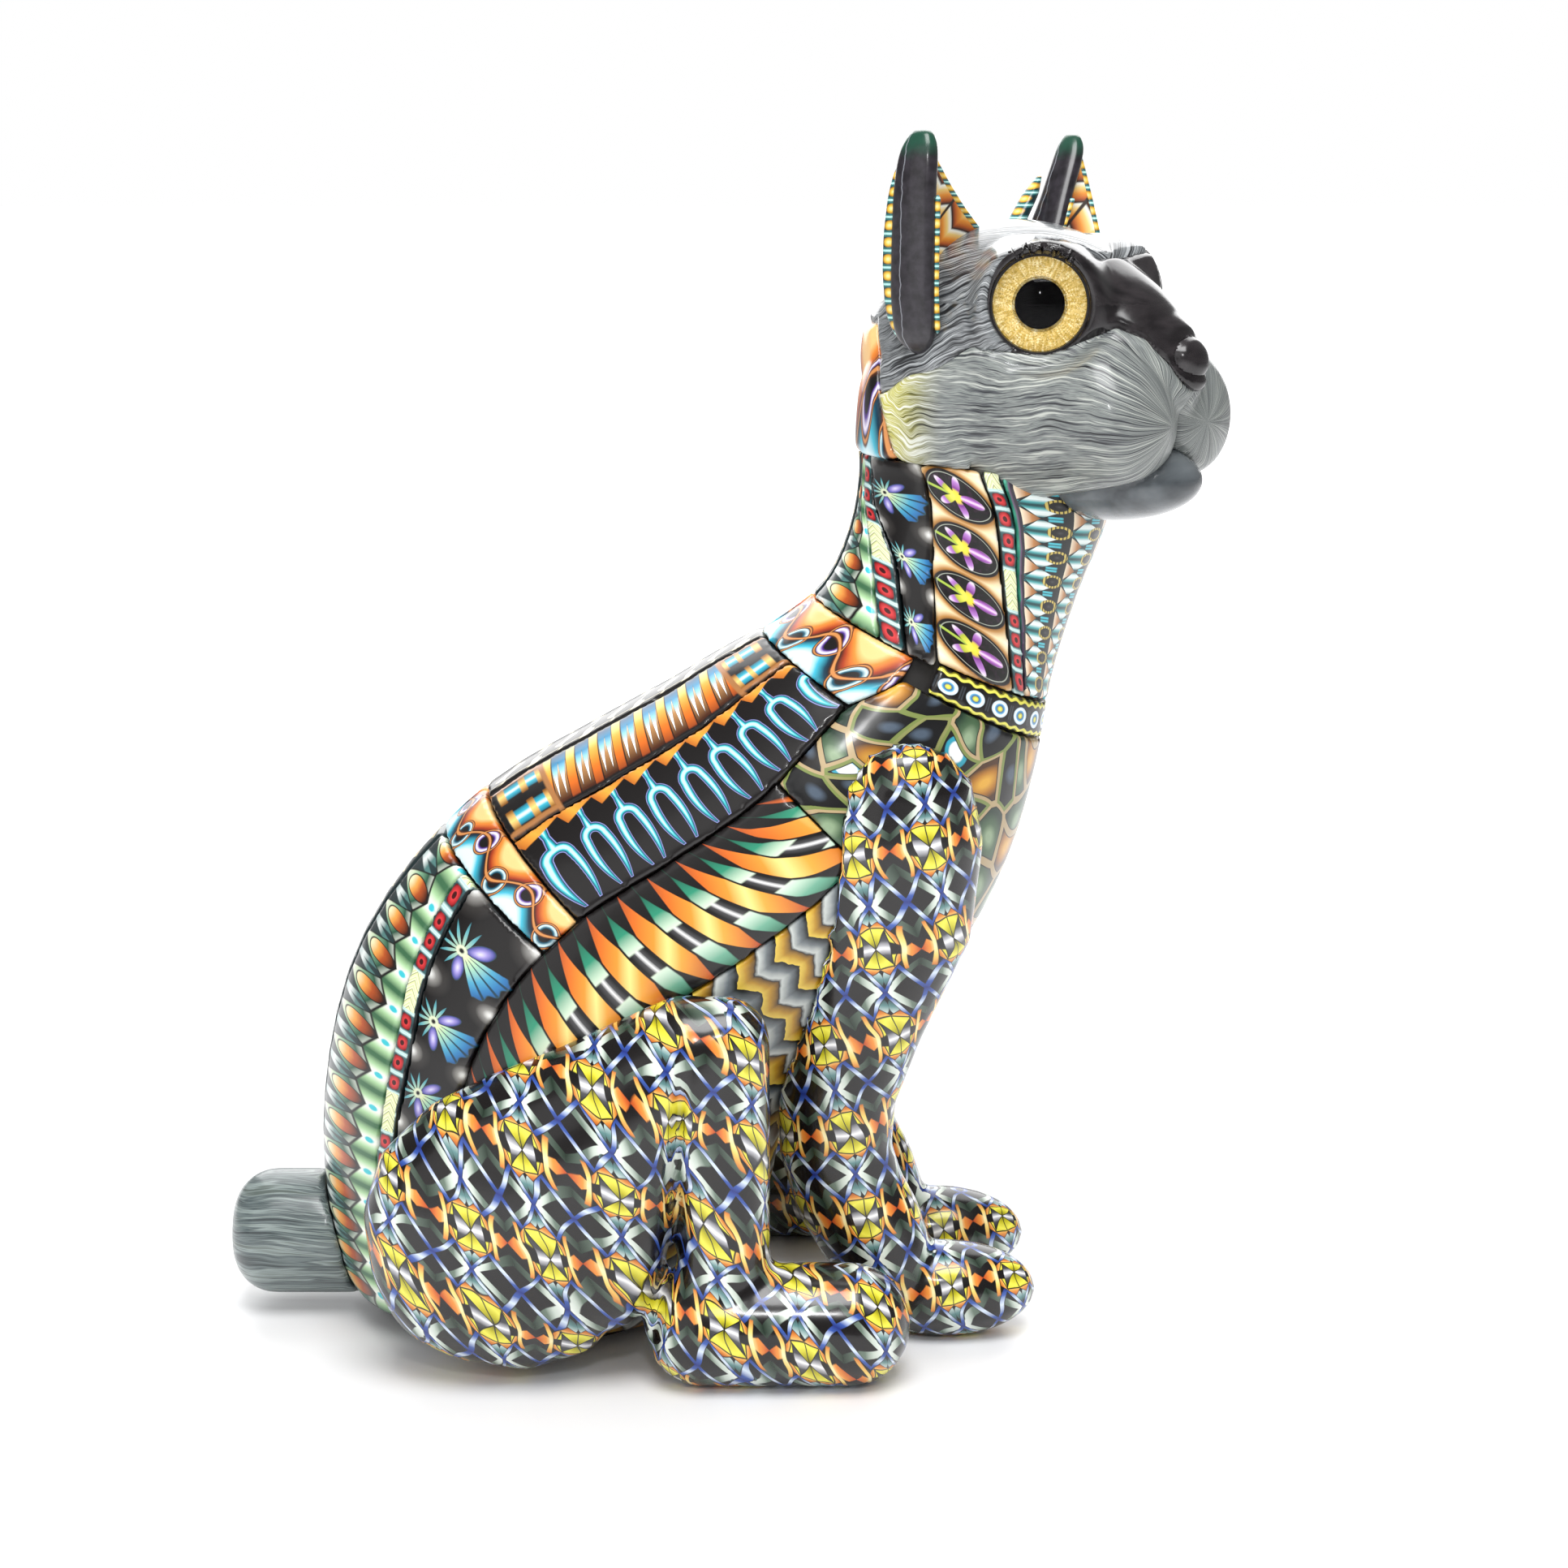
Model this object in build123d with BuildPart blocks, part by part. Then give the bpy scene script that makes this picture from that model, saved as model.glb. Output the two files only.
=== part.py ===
from build123d import *
import math
import os

# Seated cat figure: a baked clay body veneered with patterned slices.
# Millimetres. +X is where the body faces, +Y its left side, +Z up, ground at Z = 0.

# ---- driving dimensions -------------------------------------------------------
SHIFT_X = 3.58           # puts the middle of the whole figure's box on X = 0
SKIN = 2.8               # thickness of the patterned veneer slices
SEAM = 0.12              # half the seam between two neighbouring slices
CORE_GAP = 0.2           # between veneer and core

# torso stations: axis x, axis z, direction of the back in degrees, half depth, half width
TORSO = [
    (-45, 0, 180, 33, 29), (-45, 10, 174.5, 41, 35), (-41, 35, 168, 48, 41), (-35, 60, 155, 49, 42),
    (-21, 79, 138, 47, 41), (-2, 92, 127, 44.5, 39), (15, 105, 132, 42, 37), (27, 120, 142, 37, 34),
    (36, 134, 150, 30.5, 29.5), (42, 147, 157, 25.5, 25.5), (47, 161, 163, 24.5, 24.5),
    (51, 175, 171, 26, 25), (51, 187, 178, 26, 25), (52, 199, 180, 25.5, 25), (54, 209, 180, 22, 22),
]
NECK_TOP = 11.5          # station number where the neck ends and the head begins

HEAD_ORIGIN = (57, 0, 200)
HEAD_TURN = 35           # degrees toward the right side (-Y)
SKULL = (33, 26, 28)     # half axes of the skull, centre 2 above the head origin
SKULL_Z = 2
MASK = (27, 18, 19)      # half axes of the brow and nose-bridge swelling
MASK_AT = (14, 0, 6)
CHIN = (20, 15, 8.5)
CHIN_AT = (22, 0, -21)
NOSE = (6, 7, 5)
NOSE_AT = (38.5, 0, 5)
CHEEK_AT = (0, -11.3, -10)
CHEEK_PROFILE = [(-25, 0), (-24.4, 4), (-22, 8.5), (-12, 14.5), (2, 16), (18, 15), (32, 12.3),
                 (38.5, 9.3), (42, 4.8), (43, 0)]

EYE_AT = (16.5, -18.5, 14)
EYE_OUT = 60             # degrees between the look direction and the head's forward axis
EYE_R = 9.2
EYE_BALL_R = 10.8        # radius of the glass dome's sphere
PUPIL_R = 4.9

WIRE_R = 1.5

os.makedirs("parts", exist_ok=True)


# ---- torso frame --------------------------------------------------------------
def station(q):
    """Axis point, unit vector along the body, half depth and half width at station number q."""
    q = min(max(q, 0.0), len(TORSO) - 1 - 1e-9)
    i = int(q)
    f = q - i
    first = [2 * u - v for u, v in zip(TORSO[0], TORSO[1])]
    last = [2 * u - v for u, v in zip(TORSO[-1], TORSO[-2])]
    rows = [first] + [list(r) for r in TORSO] + [last]
    x, z, back, a, b = [
        0.5 * (2 * p1 + (p2 - p0) * f + (2 * p0 - 5 * p1 + 4 * p2 - p3) * f ** 2
               + (3 * p1 - p0 - 3 * p2 + p3) * f ** 3)
        for p0, p1, p2, p3 in zip(*rows[i:i + 4])]
    t = math.radians(back - 90)
    return (x + SHIFT_X, z), (math.cos(t), math.sin(t)), a, b


def station_plane(q):
    """Plane across the torso: local x points to the back, local y to the right side."""
    (x, z), (tx, tz), _, _ = station(q)
    return Plane(origin=(x, 0, z), x_dir=(-tz, 0, tx), z_dir=(tx, 0, tz))


def steps(q0, q1, pitch=0.25):
    n = max(2, int(math.ceil((q1 - q0) / pitch)))
    return [q0 + (q1 - q0) * k / n for k in range(n + 1)]


def torso_solid(q0, q1, inset):
    """Solid torso between two stations, its surface moved inward by inset."""
    with BuildPart() as body:
        for q in steps(q0, q1):
            _, _, a, b = station(q)
            with BuildSketch(station_plane(q)):
                Ellipse(a - inset, b - inset)
        loft(ruled=True)
    return body.part


def veneer(q0, q1, start, end, outset=0.0):
    """One slice of veneer: start(q) and end(q) are angles round the torso from the spine."""
    with BuildPart() as slab:
        for q in steps(q0, q1):
            _, _, a, b = station(q)
            seam = math.degrees(SEAM / ((a + b) / 2))
            u0, u1 = start(q) + seam, end(q) - seam
            n = max(4, int((end(q0) - start(q0)) / 8))
            angles = [math.radians(u0 + (u1 - u0) * k / n) for k in range(n + 1)]
            outer = [((a + outset) * math.cos(t), (b + outset) * math.sin(t)) for t in angles]
            inner = [((a - SKIN) * math.cos(t), (b - SKIN) * math.sin(t)) for t in angles]
            with BuildSketch(station_plane(q)):
                with BuildLine():
                    Spline(*outer)
                    Line(outer[-1], inner[-1])
                    Spline(*reversed(inner))
                    Line(inner[0], outer[0])
                make_face()
        loft(ruled=True)
    return slab.part


def ramp(*knots):
    """Angle as a function of q: straight runs between (q, angle) knots."""
    def value(q):
        if q <= knots[0][0]:
            return knots[0][1]
        for (qa, va), (qb, vb) in zip(knots, knots[1:]):
            if q <= qb:
                return va + (vb - va) * (q - qa) / (qb - qa)
        return knots[-1][1]
    return value


def save(solid, name):
    solid.label = name
    export_step(solid, "parts/" + name + ".step")


def save_pair(solid, name):
    """A right-hand piece and its mirror image on the left."""
    save(solid, name + "_right")
    save(mirror(solid, about=Plane.XZ), name + "_left")


# ---- torso: core, wire and veneers ---------------------------------------------
envelope = torso_solid(0, NECK_TOP, -0.15)

with BuildPart() as armature_wire:
    with BuildLine():
        wire_path = Spline(*[(station(q)[0][0], 0, station(q)[0][1]) for q in
                             (0.5, 2, 3, 4, 5, 6, 7, 8, 9, 10, 11, 11.9)],
                           (55 + SHIFT_X, 0, 206))
    with BuildSketch(Plane(origin=wire_path @ 0, z_dir=wire_path % 0)):
        Circle(WIRE_R)
    sweep()
save(armature_wire.part, "armature_wire")

core_blank = torso_solid(0, NECK_TOP, SKIN + CORE_GAP)
with BuildPart() as body_core:
    add(core_blank)
    add(armature_wire.part, mode=Mode.SUBTRACT)
    with Locations((0, 0, 0)):
        Box(400, 400, 40, align=(Align.CENTER, Align.CENTER, Align.MAX), mode=Mode.SUBTRACT)
save(body_core.part, "body_core")

# edges between strips, as angles from the spine against station number
RUMP_LEAF = ramp((0, 46), (2.75, 46), (3.75, 33))
RUMP_BEAD = ramp((0, 52), (2.75, 52), (3.75, 40))
NECK_LEAF = ramp((8.65, 62), (10.6, 15), (11.6, 12))
NECK_BEAD = ramp((8.65, 76), (9.8, 53), (10.6, 26), (11.6, 20))
NECK_FLOWER = ramp((8.65, 91), (9.8, 73), (11.5, 55))
NECK_ORCHID = ramp((8.65, 133), (9.98, 106), (11.25, 86), (11.6, 83))
THROAT_BEAD = ramp((8.65, 142), (9.98, 115), (11.25, 95), (11.6, 92))
SHOULDER = ramp((7.6, 68), (8.26, 80))


def flat(angle):
    return lambda q: angle


def round_front(edge):
    return lambda q: 360 - edge(q)


save(veneer(1.15, 3.78, flat(-9), flat(9)), "rump_spine_strip")
save_pair(veneer(0.42, 3.78, flat(9), RUMP_LEAF), "rump_leaf_strip")
save_pair(veneer(0.42, 3.78, RUMP_LEAF, RUMP_BEAD), "rump_bead_strip")
save_pair(veneer(0.42, 3.78, RUMP_BEAD, flat(68)), "rump_flower_strip")
save_pair(veneer(3.8, 4.12, flat(0), flat(68)), "rear_scroll")

save(veneer(4.14, 7.58, flat(-12.5), flat(12.5)), "saddle_spine_strip")
save_pair(veneer(4.14, 7.58, flat(12.5), flat(38)), "saddle_tooth_band")
save_pair(veneer(4.14, 7.58, flat(38), flat(68)), "wishbone_panel")
save_pair(veneer(0.42, 6.3, flat(68), flat(100)), "rib_fan")
save_pair(veneer(7.6, 8.62, flat(0), SHOULDER), "front_scroll")

save(veneer(8.64, NECK_TOP, flat(-7), flat(7)), "neck_spine_strip")
save_pair(veneer(8.64, NECK_TOP, flat(7), NECK_LEAF), "neck_leaf_strip")
save_pair(veneer(8.64, NECK_TOP, NECK_LEAF, NECK_BEAD), "neck_bead_strip")
save_pair(veneer(8.64, NECK_TOP, NECK_BEAD, NECK_FLOWER), "neck_flower_strip")
save_pair(veneer(8.72, NECK_TOP, NECK_FLOWER, NECK_ORCHID), "orchid_strip")
save_pair(veneer(8.72, NECK_TOP, NECK_ORCHID, THROAT_BEAD), "throat_bead_strip")
save(veneer(8.72, NECK_TOP, THROAT_BEAD, round_front(THROAT_BEAD)), "throat_feathers")

save(veneer(8.29, 8.7, flat(91), flat(269)), "collar_strip")
save(veneer(6.32, 8.27, SHOULDER, round_front(SHOULDER)), "chest_panel")
save(veneer(0.42, 6.3, flat(100), flat(260)), "belly_panel")

# ---- legs and tail -------------------------------------------------------------
# leg stations: x, z, direction of the limb in degrees from +X, half depth, half width, y
THIGH = [
    (-66.5, 11, 45, 4, 3, -43), (-64, 13.5, 45, 13, 8, -43), (-58, 19, 45, 23.5, 13, -43),
    (-50, 27, 45, 29.2, 16, -43), (-40, 37, 45, 29, 17, -43), (-30, 47, 45, 24.5, 16.5, -43.5),
    (-20, 57, 45, 18.8, 15, -44), (-10, 66.5, 45, 14.2, 12.5, -44.5), (-4, 72.5, 45, 11, 10, -45),
    (0, 76.5, 45, 5, 5, -45),
]
FORELEG = [
    (33.5, 128.5, 90, 4, 4, -28), (33.5, 126, 90, 9.5, 9, -27.5), (33.2, 120, 90, 14.3, 12.5, -27),
    (32.5, 108, 88, 17.6, 14, -26.5), (30, 90, 80, 18, 13.5, -26), (24.2, 69, 76, 14.2, 12, -24),
    (20.8, 52, 86, 12.2, 11, -21.5), (20.6, 41, 94, 11.7, 10.5, -20), (23.5, 31, 112, 11.6, 10.3, -19.5),
    (28.5, 22, 125, 11.4, 10.3, -19), (34, 14.5, 140, 9.5, 9.8, -18.5), (38, 10.5, 150, 6, 7, -18.5),
]
SHANK_X, SHANK_R = -2.2, 9.4
KNEE_Z, HEEL_Z = 71, 13
FOOT_Y, FOOT_R = -45.5, 12.4
HEEL_X, TOE_X = -6, 23
PAW = (43.5, -18, 9.6)
PAW_SIZE = (19, 10.2, 10)


def limb(rows):
    """Loft of ellipses along a limb."""
    with BuildPart() as solid:
        for x, z, heading, deep, wide, y in rows:
            t = math.radians(heading)
            across = Plane(origin=(x + SHIFT_X, y, z), x_dir=(-math.sin(t), 0, math.cos(t)),
                           z_dir=(math.cos(t), 0, math.sin(t)))
            with BuildSketch(across):
                Ellipse(deep, wide)
        loft(ruled=True)
    return solid.part


def ellipsoid(half, centre):
    return Pos(*centre) * scale(Sphere(1), by=tuple(half))


thigh = limb(THIGH)
with BuildPart() as hind_leg:
    add(thigh)
    with Locations((SHANK_X + SHIFT_X, FOOT_Y, KNEE_Z), (SHANK_X + SHIFT_X, FOOT_Y, HEEL_Z)):
        Sphere(SHANK_R)
    with Locations((SHANK_X + SHIFT_X, FOOT_Y, (KNEE_Z + HEEL_Z) / 2)):
        Cylinder(SHANK_R, KNEE_Z - HEEL_Z)
    with Locations((HEEL_X + SHIFT_X, FOOT_Y, FOOT_R), (TOE_X + SHIFT_X, FOOT_Y, FOOT_R)):
        Sphere(FOOT_R)
    with Locations(((HEEL_X + TOE_X) / 2 + SHIFT_X, FOOT_Y, FOOT_R)):
        Cylinder(FOOT_R, TOE_X - HEEL_X, rotation=(0, 90, 0))
    add(envelope, mode=Mode.SUBTRACT)
    # resting flat, worn on the ground
    with Locations((0, 0, 0.6)):
        Box(400, 400, 40, align=(Align.CENTER, Align.CENTER, Align.MAX), mode=Mode.SUBTRACT)
save_pair(hind_leg.part.moved(Location((0, 0, -0.6))), "hind_leg")

arm = limb([(x, z, h + 180, d, w, y) for x, z, h, d, w, y in FORELEG])
paw = ellipsoid(PAW_SIZE, (PAW[0] + SHIFT_X, PAW[1], PAW[2]))
with BuildPart() as foreleg:
    add(arm)
    add(paw)
    add(envelope, mode=Mode.SUBTRACT)
    with Locations((0, 0, 0)):
        Box(400, 400, 40, align=(Align.CENTER, Align.CENTER, Align.MAX), mode=Mode.SUBTRACT)
save_pair(foreleg.part, "foreleg")

TAIL_R, TAIL_Z, TAIL_END = 13.3, 16, -108
with BuildPart() as tail:
    with BuildSketch(Plane(origin=(-72 + SHIFT_X, 0, TAIL_Z), z_dir=(-1, 0, 0))):
        Circle(TAIL_R)
    extrude(amount=-72 - TAIL_END)
    fillet(tail.faces().sort_by(Axis.X)[0].edges(), 9)
    add(envelope, mode=Mode.SUBTRACT)
save(tail.part, "tail")

# ---- head, in its own frame: +X is where the face looks --------------------------
HEAD = Location((HEAD_ORIGIN[0] + SHIFT_X, HEAD_ORIGIN[1], HEAD_ORIGIN[2]), (0, 0, -HEAD_TURN))
neck = torso_solid(7, NECK_TOP, -0.15).moved(HEAD.inverse())
NAPE_END = 13.9
nape_solid = torso_solid(NECK_TOP, NAPE_END, -0.1).moved(HEAD.inverse())
nape_core = torso_solid(NECK_TOP + 0.05, NAPE_END, SKIN + CORE_GAP).moved(HEAD.inverse())
wire_in_head = armature_wire.part.moved(HEAD.inverse())


def skull(grow):
    return ellipsoid([h + grow for h in SKULL], (0, 0, SKULL_Z))


def mask(grow):
    return ellipsoid([h + grow for h in MASK], MASK_AT)


def cheek(grow, side):
    """Egg along the jaw; the two eggs meet in the middle plane of the muzzle."""
    with BuildPart() as egg:
        with BuildSketch(Plane.XZ):
            with BuildLine():
                first, last = CHEEK_PROFILE[0], CHEEK_PROFILE[-1]
                rows = [(first[0] - grow, 0)] + [(x, r + grow) for x, r in CHEEK_PROFILE[1:-1]]
                rows += [(last[0] + grow, 0)]
                Spline(*rows)
                Line(rows[-1], rows[0])
            make_face()
        revolve(axis=Axis.X)
    at = (CHEEK_AT[0], side * abs(CHEEK_AT[1]), CHEEK_AT[2])
    with BuildPart() as half:
        add(egg.part.moved(Location(at, (90 * side, 0, 0))))
        with Locations((0, side * (0.1 - grow), 0)):
            Box(200, 100, 200, align=(Align.CENTER, Align.MAX if side > 0 else Align.MIN, Align.CENTER),
                mode=Mode.SUBTRACT)
    return half.part


def eye_plane(side, out=0.0):
    """Plane of the eye's rim; local z looks out of the head."""
    t = math.radians(EYE_OUT)
    look = (math.cos(t), side * math.sin(t), 0)
    at = (EYE_AT[0] + out * look[0], side * abs(EYE_AT[1]) + out * look[1], EYE_AT[2])
    return Plane(origin=at, x_dir=(0, 0, 1), z_dir=look)


def eye_disc(side, radius, start, thick):
    with BuildPart() as disc:
        with BuildSketch(eye_plane(side, start)):
            Circle(radius)
        extrude(amount=thick)
    return disc.part


def both(maker):
    halves = (maker(-1), maker(1))
    with BuildPart() as pair:
        for half in halves:
            add(half)
    return pair.part


SOCKET_R = EYE_R + 1.7
sockets = both(lambda s: eye_disc(s, SOCKET_R, -3.6, 20))


def carve(solid, *tools):
    with BuildPart() as cut:
        add(solid)
        for tool in tools:
            add(tool, mode=Mode.SUBTRACT)
    return cut.part


cheeks_grown = both(lambda s: cheek(0.25, s))
skull_core = skull(-SKIN - CORE_GAP)
with BuildPart() as head_blank:
    add(skull_core)
    add(nape_core)
nape_slab = veneer(NECK_TOP + 0.02, NAPE_END, flat(-80), flat(80)).moved(HEAD.inverse())
head_core = carve(head_blank.part, neck, wire_in_head, sockets, nape_slab)
save(head_core.moved(HEAD), "head_core")

nape = carve(nape_slab, cheeks_grown)
nape = max(nape.solids(), key=lambda s: s.volume)
save(nape.moved(HEAD), "nape_panel")

crown = carve(skull(0), skull(-SKIN), cheeks_grown, neck, nape_solid, mask(0.15), sockets)
crown = max(crown.solids(), key=lambda s: s.volume)
save(crown.moved(HEAD), "crown_panel")

brow = carve(mask(0), skull(-SKIN), cheeks_grown, sockets)
brow = max(brow.solids(), key=lambda s: s.volume)
save(brow.moved(HEAD), "brow_mask")

for side, name in ((-1, "cheek_right"), (1, "cheek_left")):
    lobe = carve(cheek(0, side), nape_core, skull(-SKIN), sockets, neck)
    lobe = max(lobe.solids(), key=lambda s: s.volume)
    save(lobe.moved(HEAD), name)

chin = carve(ellipsoid(CHIN, CHIN_AT), cheeks_grown, skull(-SKIN), mask(0.1), neck)
chin = max(chin.solids(), key=lambda s: s.volume)
save(chin.moved(HEAD), "chin")

nose = carve(ellipsoid(NOSE, NOSE_AT), mask(0.1), cheeks_grown)
nose = max(nose.solids(), key=lambda s: s.volume)
save(nose.moved(HEAD), "nose")

# ---- ears ------------------------------------------------------------------------
# outlines across the head (Y, Z) of the right ear, front faces looking along +X
EAR_BACK_X, EAR_FRONT_X = -13, -4
EAR_BODY = [(-26.9, 2), (-26.9, 34), (-25.9, 41.2), (-24.5, 43.4), (-22.9, 42.6), (-18.5, 37.5),
            (-13, 31.5), (-7, 27.5), (-6, 20), (-16, 4)]
EAR_RIM = [(-29.5, 4), (-29.5, 34), (-28.3, 42.5), (-26.1, 46.3), (-23.5, 46.6), (-21.1, 44.4),
           (-22.9, 42.6), (-24.5, 43.4), (-25.9, 41.2), (-26.9, 34), (-26.9, 4)]
EAR_HOLLOW = [(-24.7, 14), (-24.7, 33), (-23.5, 38.6), (-17.5, 32), (-11, 27), (-16, 19)]
HOLLOW_DEEP, LINING_THICK = 3.2, 1.8
BAND_X = -10.2           # the plain band is in front of this, the beaded trim behind it


def ear_slab(outline, x0, x1):
    with BuildPart() as slab:
        with BuildSketch(Plane(origin=(x0, 0, 0), x_dir=(0, 1, 0), z_dir=(1, 0, 0))):
            with BuildLine():
                Polyline(*outline, close=True)
            make_face()
        extrude(amount=x1 - x0)
    return slab.part


skull_grown = skull(0.1)
ear_tools = (skull_grown, cheeks_grown, nape_solid)
hollow = ear_slab(EAR_HOLLOW, EAR_FRONT_X - HOLLOW_DEEP, EAR_FRONT_X + 5)
ear = carve(ear_slab(EAR_BODY, EAR_BACK_X, EAR_FRONT_X), hollow, *ear_tools)
lining = carve(ear_slab(EAR_HOLLOW, EAR_FRONT_X - HOLLOW_DEEP, EAR_FRONT_X - HOLLOW_DEEP + LINING_THICK),
               skull_grown)
band = carve(ear_slab(EAR_RIM, BAND_X + 0.05, EAR_FRONT_X + 0.8), *ear_tools)
trim = carve(ear_slab(EAR_RIM, EAR_BACK_X - 0.6, BAND_X - 0.05), *ear_tools)
for piece, name in ((ear, "ear"), (lining, "ear_lining"), (band, "ear_band"), (trim, "ear_trim")):
    save(piece.moved(HEAD), name + "_right")
    save(mirror(piece, about=Plane.XZ).moved(HEAD), name + "_left")

# ---- eyes ------------------------------------------------------------------------
IRIS_Z, IRIS_THICK = -2.4, 1.0
PUPIL_THICK = 0.3
LENS_Z = -1.05


def eye_cup(side):
    with BuildPart() as cup:
        with BuildSketch(eye_plane(side, -3.5)):
            Circle(SOCKET_R - 0.1)
        extrude(amount=4.6)
        fillet(cup.faces().filter_by(GeomType.PLANE).sort_by(lambda f: f.center().Y * side)[-1].edges(), 0.7)
        with BuildSketch(eye_plane(side, IRIS_Z)):
            Circle(EYE_R + 0.1)
        extrude(amount=10, mode=Mode.SUBTRACT)
    return cup.part


def eye_lens(side):
    """Dome of glass: a slice off a sphere, its flat face on the iris."""
    rise = math.sqrt(EYE_BALL_R ** 2 - EYE_R ** 2)
    centre = eye_plane(side, LENS_Z - rise).origin
    with BuildPart() as dome:
        with Locations(Location(tuple(centre))):
            Sphere(EYE_BALL_R)
        with BuildSketch(eye_plane(side, LENS_Z)):
            Rectangle(60, 60)
        extrude(amount=-40, mode=Mode.SUBTRACT)
    return dome.part


eye_parts = {
    "eye_cups": eye_cup,
    "eye_irises": lambda s: eye_disc(s, EYE_R, IRIS_Z, IRIS_THICK),
    "eye_pupils": lambda s: eye_disc(s, PUPIL_R, IRIS_Z + IRIS_THICK, PUPIL_THICK),
    "eye_lenses": eye_lens,
}
for name, maker in eye_parts.items():
    save(both(maker).moved(HEAD), name)
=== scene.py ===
"""Looks of the seated cat figure: veneered clay, domed glass eyes, plain studio."""
import math

import bmesh
import bpy
import numpy as np
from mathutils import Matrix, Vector, kdtree


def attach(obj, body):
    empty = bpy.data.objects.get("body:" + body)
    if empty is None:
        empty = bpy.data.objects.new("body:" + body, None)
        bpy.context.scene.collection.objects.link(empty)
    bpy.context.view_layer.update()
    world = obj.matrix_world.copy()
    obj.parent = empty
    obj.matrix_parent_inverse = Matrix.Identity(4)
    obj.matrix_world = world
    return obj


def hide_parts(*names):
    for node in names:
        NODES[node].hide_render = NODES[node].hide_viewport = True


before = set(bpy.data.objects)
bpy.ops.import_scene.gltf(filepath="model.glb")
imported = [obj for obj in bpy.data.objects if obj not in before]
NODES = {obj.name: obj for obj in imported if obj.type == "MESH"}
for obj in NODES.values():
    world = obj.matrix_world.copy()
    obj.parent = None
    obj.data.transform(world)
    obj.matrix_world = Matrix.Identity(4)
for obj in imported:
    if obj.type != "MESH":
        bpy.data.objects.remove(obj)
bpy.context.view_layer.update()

MM = 0.001
HEAD_TURN = math.radians(35)
LAYOUT_UNIT = 100.0        # millimetres to one unit of a piece's layout coordinates
VENEER = 1.6               # thickness of a visible slice of the head, in millimetres
HEAD_START = 60            # added to the head's layout, so that it stays above zero


# ---- numbers that vary over a surface, built from shader nodes --------------------
class Val:
    """A value over the surface. Arithmetic on it adds Math nodes to the tree in hand."""
    tree = None

    def __init__(self, socket):
        self.socket = socket

    def __add__(self, other):
        return calc("ADD", self, other)

    def __sub__(self, other):
        return calc("SUBTRACT", self, other)

    def __rsub__(self, other):
        return calc("SUBTRACT", other, self)

    def __mul__(self, other):
        return calc("MULTIPLY", self, other)

    def __truediv__(self, other):
        return calc("DIVIDE", self, other)

    def __abs__(self):
        return calc("ABSOLUTE", self)

    __radd__ = __add__
    __rmul__ = __mul__


def plug(value, socket):
    """Feeds a socket from another node, or sets it to a colour or a number."""
    if isinstance(value, Val):
        Val.tree.links.new(value.socket, socket)
    elif isinstance(value, tuple):
        socket.default_value = value + (1.0,)
    else:
        socket.default_value = value


def add_node(kind, **settings):
    """A new shader node in the tree in hand."""
    node = Val.tree.nodes.new("ShaderNode" + kind)
    for key, value in settings.items():
        setattr(node, key, value)
    return node


def feed(node, *values):
    """Plugs values into a node's inputs, in order, and returns its first output."""
    for value, socket in zip(values, node.inputs):
        plug(value, socket)
    return Val(node.outputs[0])


def calc(operation, *values):
    return feed(add_node("Math", operation=operation), *values)


def low(a, b):
    return calc("MINIMUM", a, b)


def high(a, b):
    return calc("MAXIMUM", a, b)


def sine(turns):
    return calc("SINE", turns * (2 * math.pi))


def wrap(x):
    return calc("FRACT", x)


def fold(x, span=1.0):
    """Triangle wave: rises 0 to span, then falls back."""
    return calc("PINGPONG", x, span)


def dist(x, y):
    return calc("SQRT", x * x + y * y)


def power(x, exponent):
    return calc("POWER", x, exponent)


def angle(y, x):
    return calc("ARCTAN2", y, x)


def inside(d, soft=0.05):
    """1 where d is below zero, 0 above, with a soft edge."""
    return feed(add_node("MapRange", interpolation_type="SMOOTHSTEP"), d, -soft, soft, 1.0, 0.0)


def line(d, half, soft=0.05):
    """A stripe of the given half width where d crosses zero."""
    return inside(abs(d) - half, soft)


def ramp(x, *stops):
    """Colour along x: stops are (position, hex colour)."""
    node = add_node("ValToRGB")
    elements = node.color_ramp.elements
    while len(elements) < len(stops):
        elements.new(0.5)
    for element, (at, code) in zip(elements, stops):
        element.position = at
    for element, (at, code) in zip(elements, stops):
        element.color = ink(code) + (1.0,)
    return feed(node, x)


def over(base, top, mask):
    """Colour top laid over colour base where mask is 1."""
    node = add_node("Mix", data_type="RGBA")
    for value, index in ((mask, 0), (base, 6), (top, 7)):
        plug(value, node.inputs[index])
    return Val(node.outputs[2])


def flat_texture(kind, x, y, scale, **settings):
    """A texture node laid over the flat place x, y."""
    node = add_node(kind, **settings)
    plug(feed(add_node("CombineXYZ"), x, y), node.inputs["Vector"])
    node.inputs["Scale"].default_value = scale
    return node


def noise(x, y, scale=1.0, detail=2.0):
    node = flat_texture("TexNoise", x, y, scale)
    node.inputs["Detail"].default_value = detail
    return Val(node.outputs[0])


def cells(x, y, scale, feature):
    return flat_texture("TexVoronoi", x, y, scale, voronoi_dimensions="2D", feature=feature)


def solid_texture(kind, scale, output=0):
    """A texture fixed to the object's own space."""
    node = add_node(kind)
    plug(Val(add_node("TexCoord").outputs["Object"]), node.inputs["Vector"])
    node.inputs["Scale"].default_value = scale
    return Val(node.outputs[output])


def ink(code):
    """Linear colour of an sRGB hex code."""
    parts = [int(code[i:i + 2], 16) / 255 for i in (0, 2, 4)]
    return tuple(c / 12.92 if c <= 0.04045 else ((c + 0.055) / 1.055) ** 2.4 for c in parts)


BLACK = ink("120E0E")
COPPER = ink("A8713F")


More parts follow.
